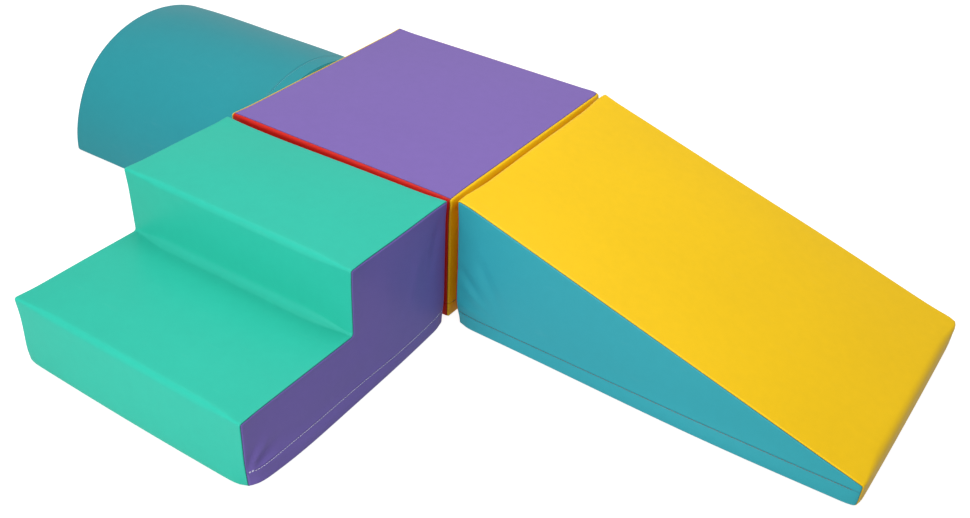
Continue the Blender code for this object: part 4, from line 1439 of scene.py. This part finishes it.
class CLIMBER_OT_studio(bpy.types.Operator):
    """Set the floor, the light and the camera"""

    bl_idname = "climber.studio"
    bl_label = "Studio"
    bl_options = {"REGISTER", "UNDO"}

    def execute(self, context):
        scene = context.scene
        room = scene.climber_room
        half = room.floor_size / 2
        lines = np.linspace(-half, half, 15)
        u, v = np.meshgrid(lines, lines, indexing="ij")
        points = np.stack([u, v, np.full_like(u, -0.0005)], -1)
        floor = mesh_object("floor", points, [grid_faces(15, 15)], self.floor_material())
        self.add_light("overhead", (0.35, -0.35, 3.2), (0.1, -0.1, 0.1), 3.2, room.key_power)
        self.add_light("fill", (0.2, -4.2, 0.9), (0.1, -0.2, 0.1), 1.7, room.fill_power)
        self.world(scene, room.sky)
        self.camera(scene, room.lens)
        scene.view_settings.view_transform = "Standard"
        return {"FINISHED"}

    def floor_material(self):
        """A pale floor that keeps the shadow; the camera sees it close to white."""
        nodes = {
            "matt": ("BsdfDiffuse", {"Color": (0.38, 0.38, 0.38, 1.0)}),
            "glow": ("Emission", {}),
            "path": ("LightPath", {}),
            "share": maths("MULTIPLY_ADD", 0.62, 0.26),
            "both": ("AddShader", {}),
        }
        links = """
            path.Is Camera Ray > share.0, share.0 > glow.Strength, matt.0 > both.0, glow.0 > both.1,
            both.0 > output.Surface
        """
        return material("pale floor", nodes, links)

    def add_light(self, name, place, target, size, power):
        """A square area light that looks at a point."""
        data = bpy.data.lights.new(name, "AREA")
        data.shape = "SQUARE"
        data.size = size
        data.energy = power
        obj = bpy.data.objects.new(name, data)
        obj.location = place
        obj.rotation_euler = (Vector(target) - Vector(place)).to_track_quat("-Z", "Y").to_euler()
        bpy.context.scene.collection.objects.link(obj)

    def world(self, scene, strength):
        """Even white light all round; the camera sees it as white, reflections as nearly so."""
        scene.world = bpy.data.worlds.new("studio")
        scene.world.use_nodes = True
        scene.world.node_tree.nodes.clear()
        nodes = {
            "output": ("OutputWorld", {}),
            "even": ("Background", {"Color": WHITE, "Strength": strength}),
            "white": ("Background", {"Color": WHITE, "Strength": 1.0}),
            "path": ("LightPath", {}),
            "seen": maths("MULTIPLY_ADD", 0.60),
            "pick": ("MixShader", {}),
        }
        links = """
            path.Is Glossy Ray > seen.0, path.Is Camera Ray > seen.2, seen.0 > pick.0, even.0 > pick.1,
            white.0 > pick.2, pick.0 > output.Surface
        """
        wire(scene.world.node_tree, nodes, links)

    def camera(self, scene, lens):
        """The photograph's camera: its place, its axis and its slight roll."""
        data = bpy.data.cameras.new("camera")
        data.lens = lens
        data.sensor_width = 36.0
        data.sensor_fit = "HORIZONTAL"
        obj = bpy.data.objects.new("camera", data)
        forward = Vector(CAMERA_FORWARD)
        right = forward.cross(Vector(CAMERA_UP)).normalized()
        up = right.cross(forward).normalized()
        turn = Matrix((right, up, -forward)).transposed().to_4x4()
        obj.matrix_world = Matrix.Translation(CAMERA_PLACE) @ turn
        scene.collection.objects.link(obj)
        scene.camera = obj


class CLIMBER_PT_panel(bpy.types.Panel):
    """The sidebar's list of what can be built"""

    bl_idname = "CLIMBER_PT_panel"
    bl_label = "Soft play climber"
    bl_space_type = "VIEW_3D"
    bl_region_type = "UI"
    bl_category = "Climber"

    def draw(self, context):
        for operator in OPERATORS:
            self.layout.operator(operator.bl_idname)


GROUPS = {
    "climber_sizes": ModuleSizes,
    "climber_cover": CoverSizes,
    "climber_fastenings": FasteningSizes,
    "climber_colours": VinylColours,
    "climber_room": RoomSizes,
}
OPERATORS = (
    CLIMBER_OT_platform,
    CLIMBER_OT_steps,
    CLIMBER_OT_ramp,
    CLIMBER_OT_half_round,
    CLIMBER_OT_stitching,
    CLIMBER_OT_fastenings,
    CLIMBER_OT_studio,
)


def register():
    """Add the classes and hang their settings on the scene."""
    for group in (*GROUPS.values(), *OPERATORS, CLIMBER_PT_panel):
        bpy.utils.register_class(group)
    for name, group in GROUPS.items():
        setattr(bpy.types.Scene, name, PointerProperty(type=group))


def unregister():
    """Take the settings and the classes away again."""
    for name in GROUPS:
        delattr(bpy.types.Scene, name)
    for group in (CLIMBER_PT_panel, *reversed(OPERATORS), *reversed(GROUPS.values())):
        bpy.utils.unregister_class(group)


def main():
    """Build everything in order."""
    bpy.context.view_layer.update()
    register()
    bpy.ops.climber.platform()
    bpy.ops.climber.steps()
    bpy.ops.climber.ramp()
    bpy.ops.climber.half_round()
    bpy.ops.climber.stitching()
    bpy.ops.climber.fastenings()
    bpy.ops.climber.studio()


if __name__ == "__main__":
    main()
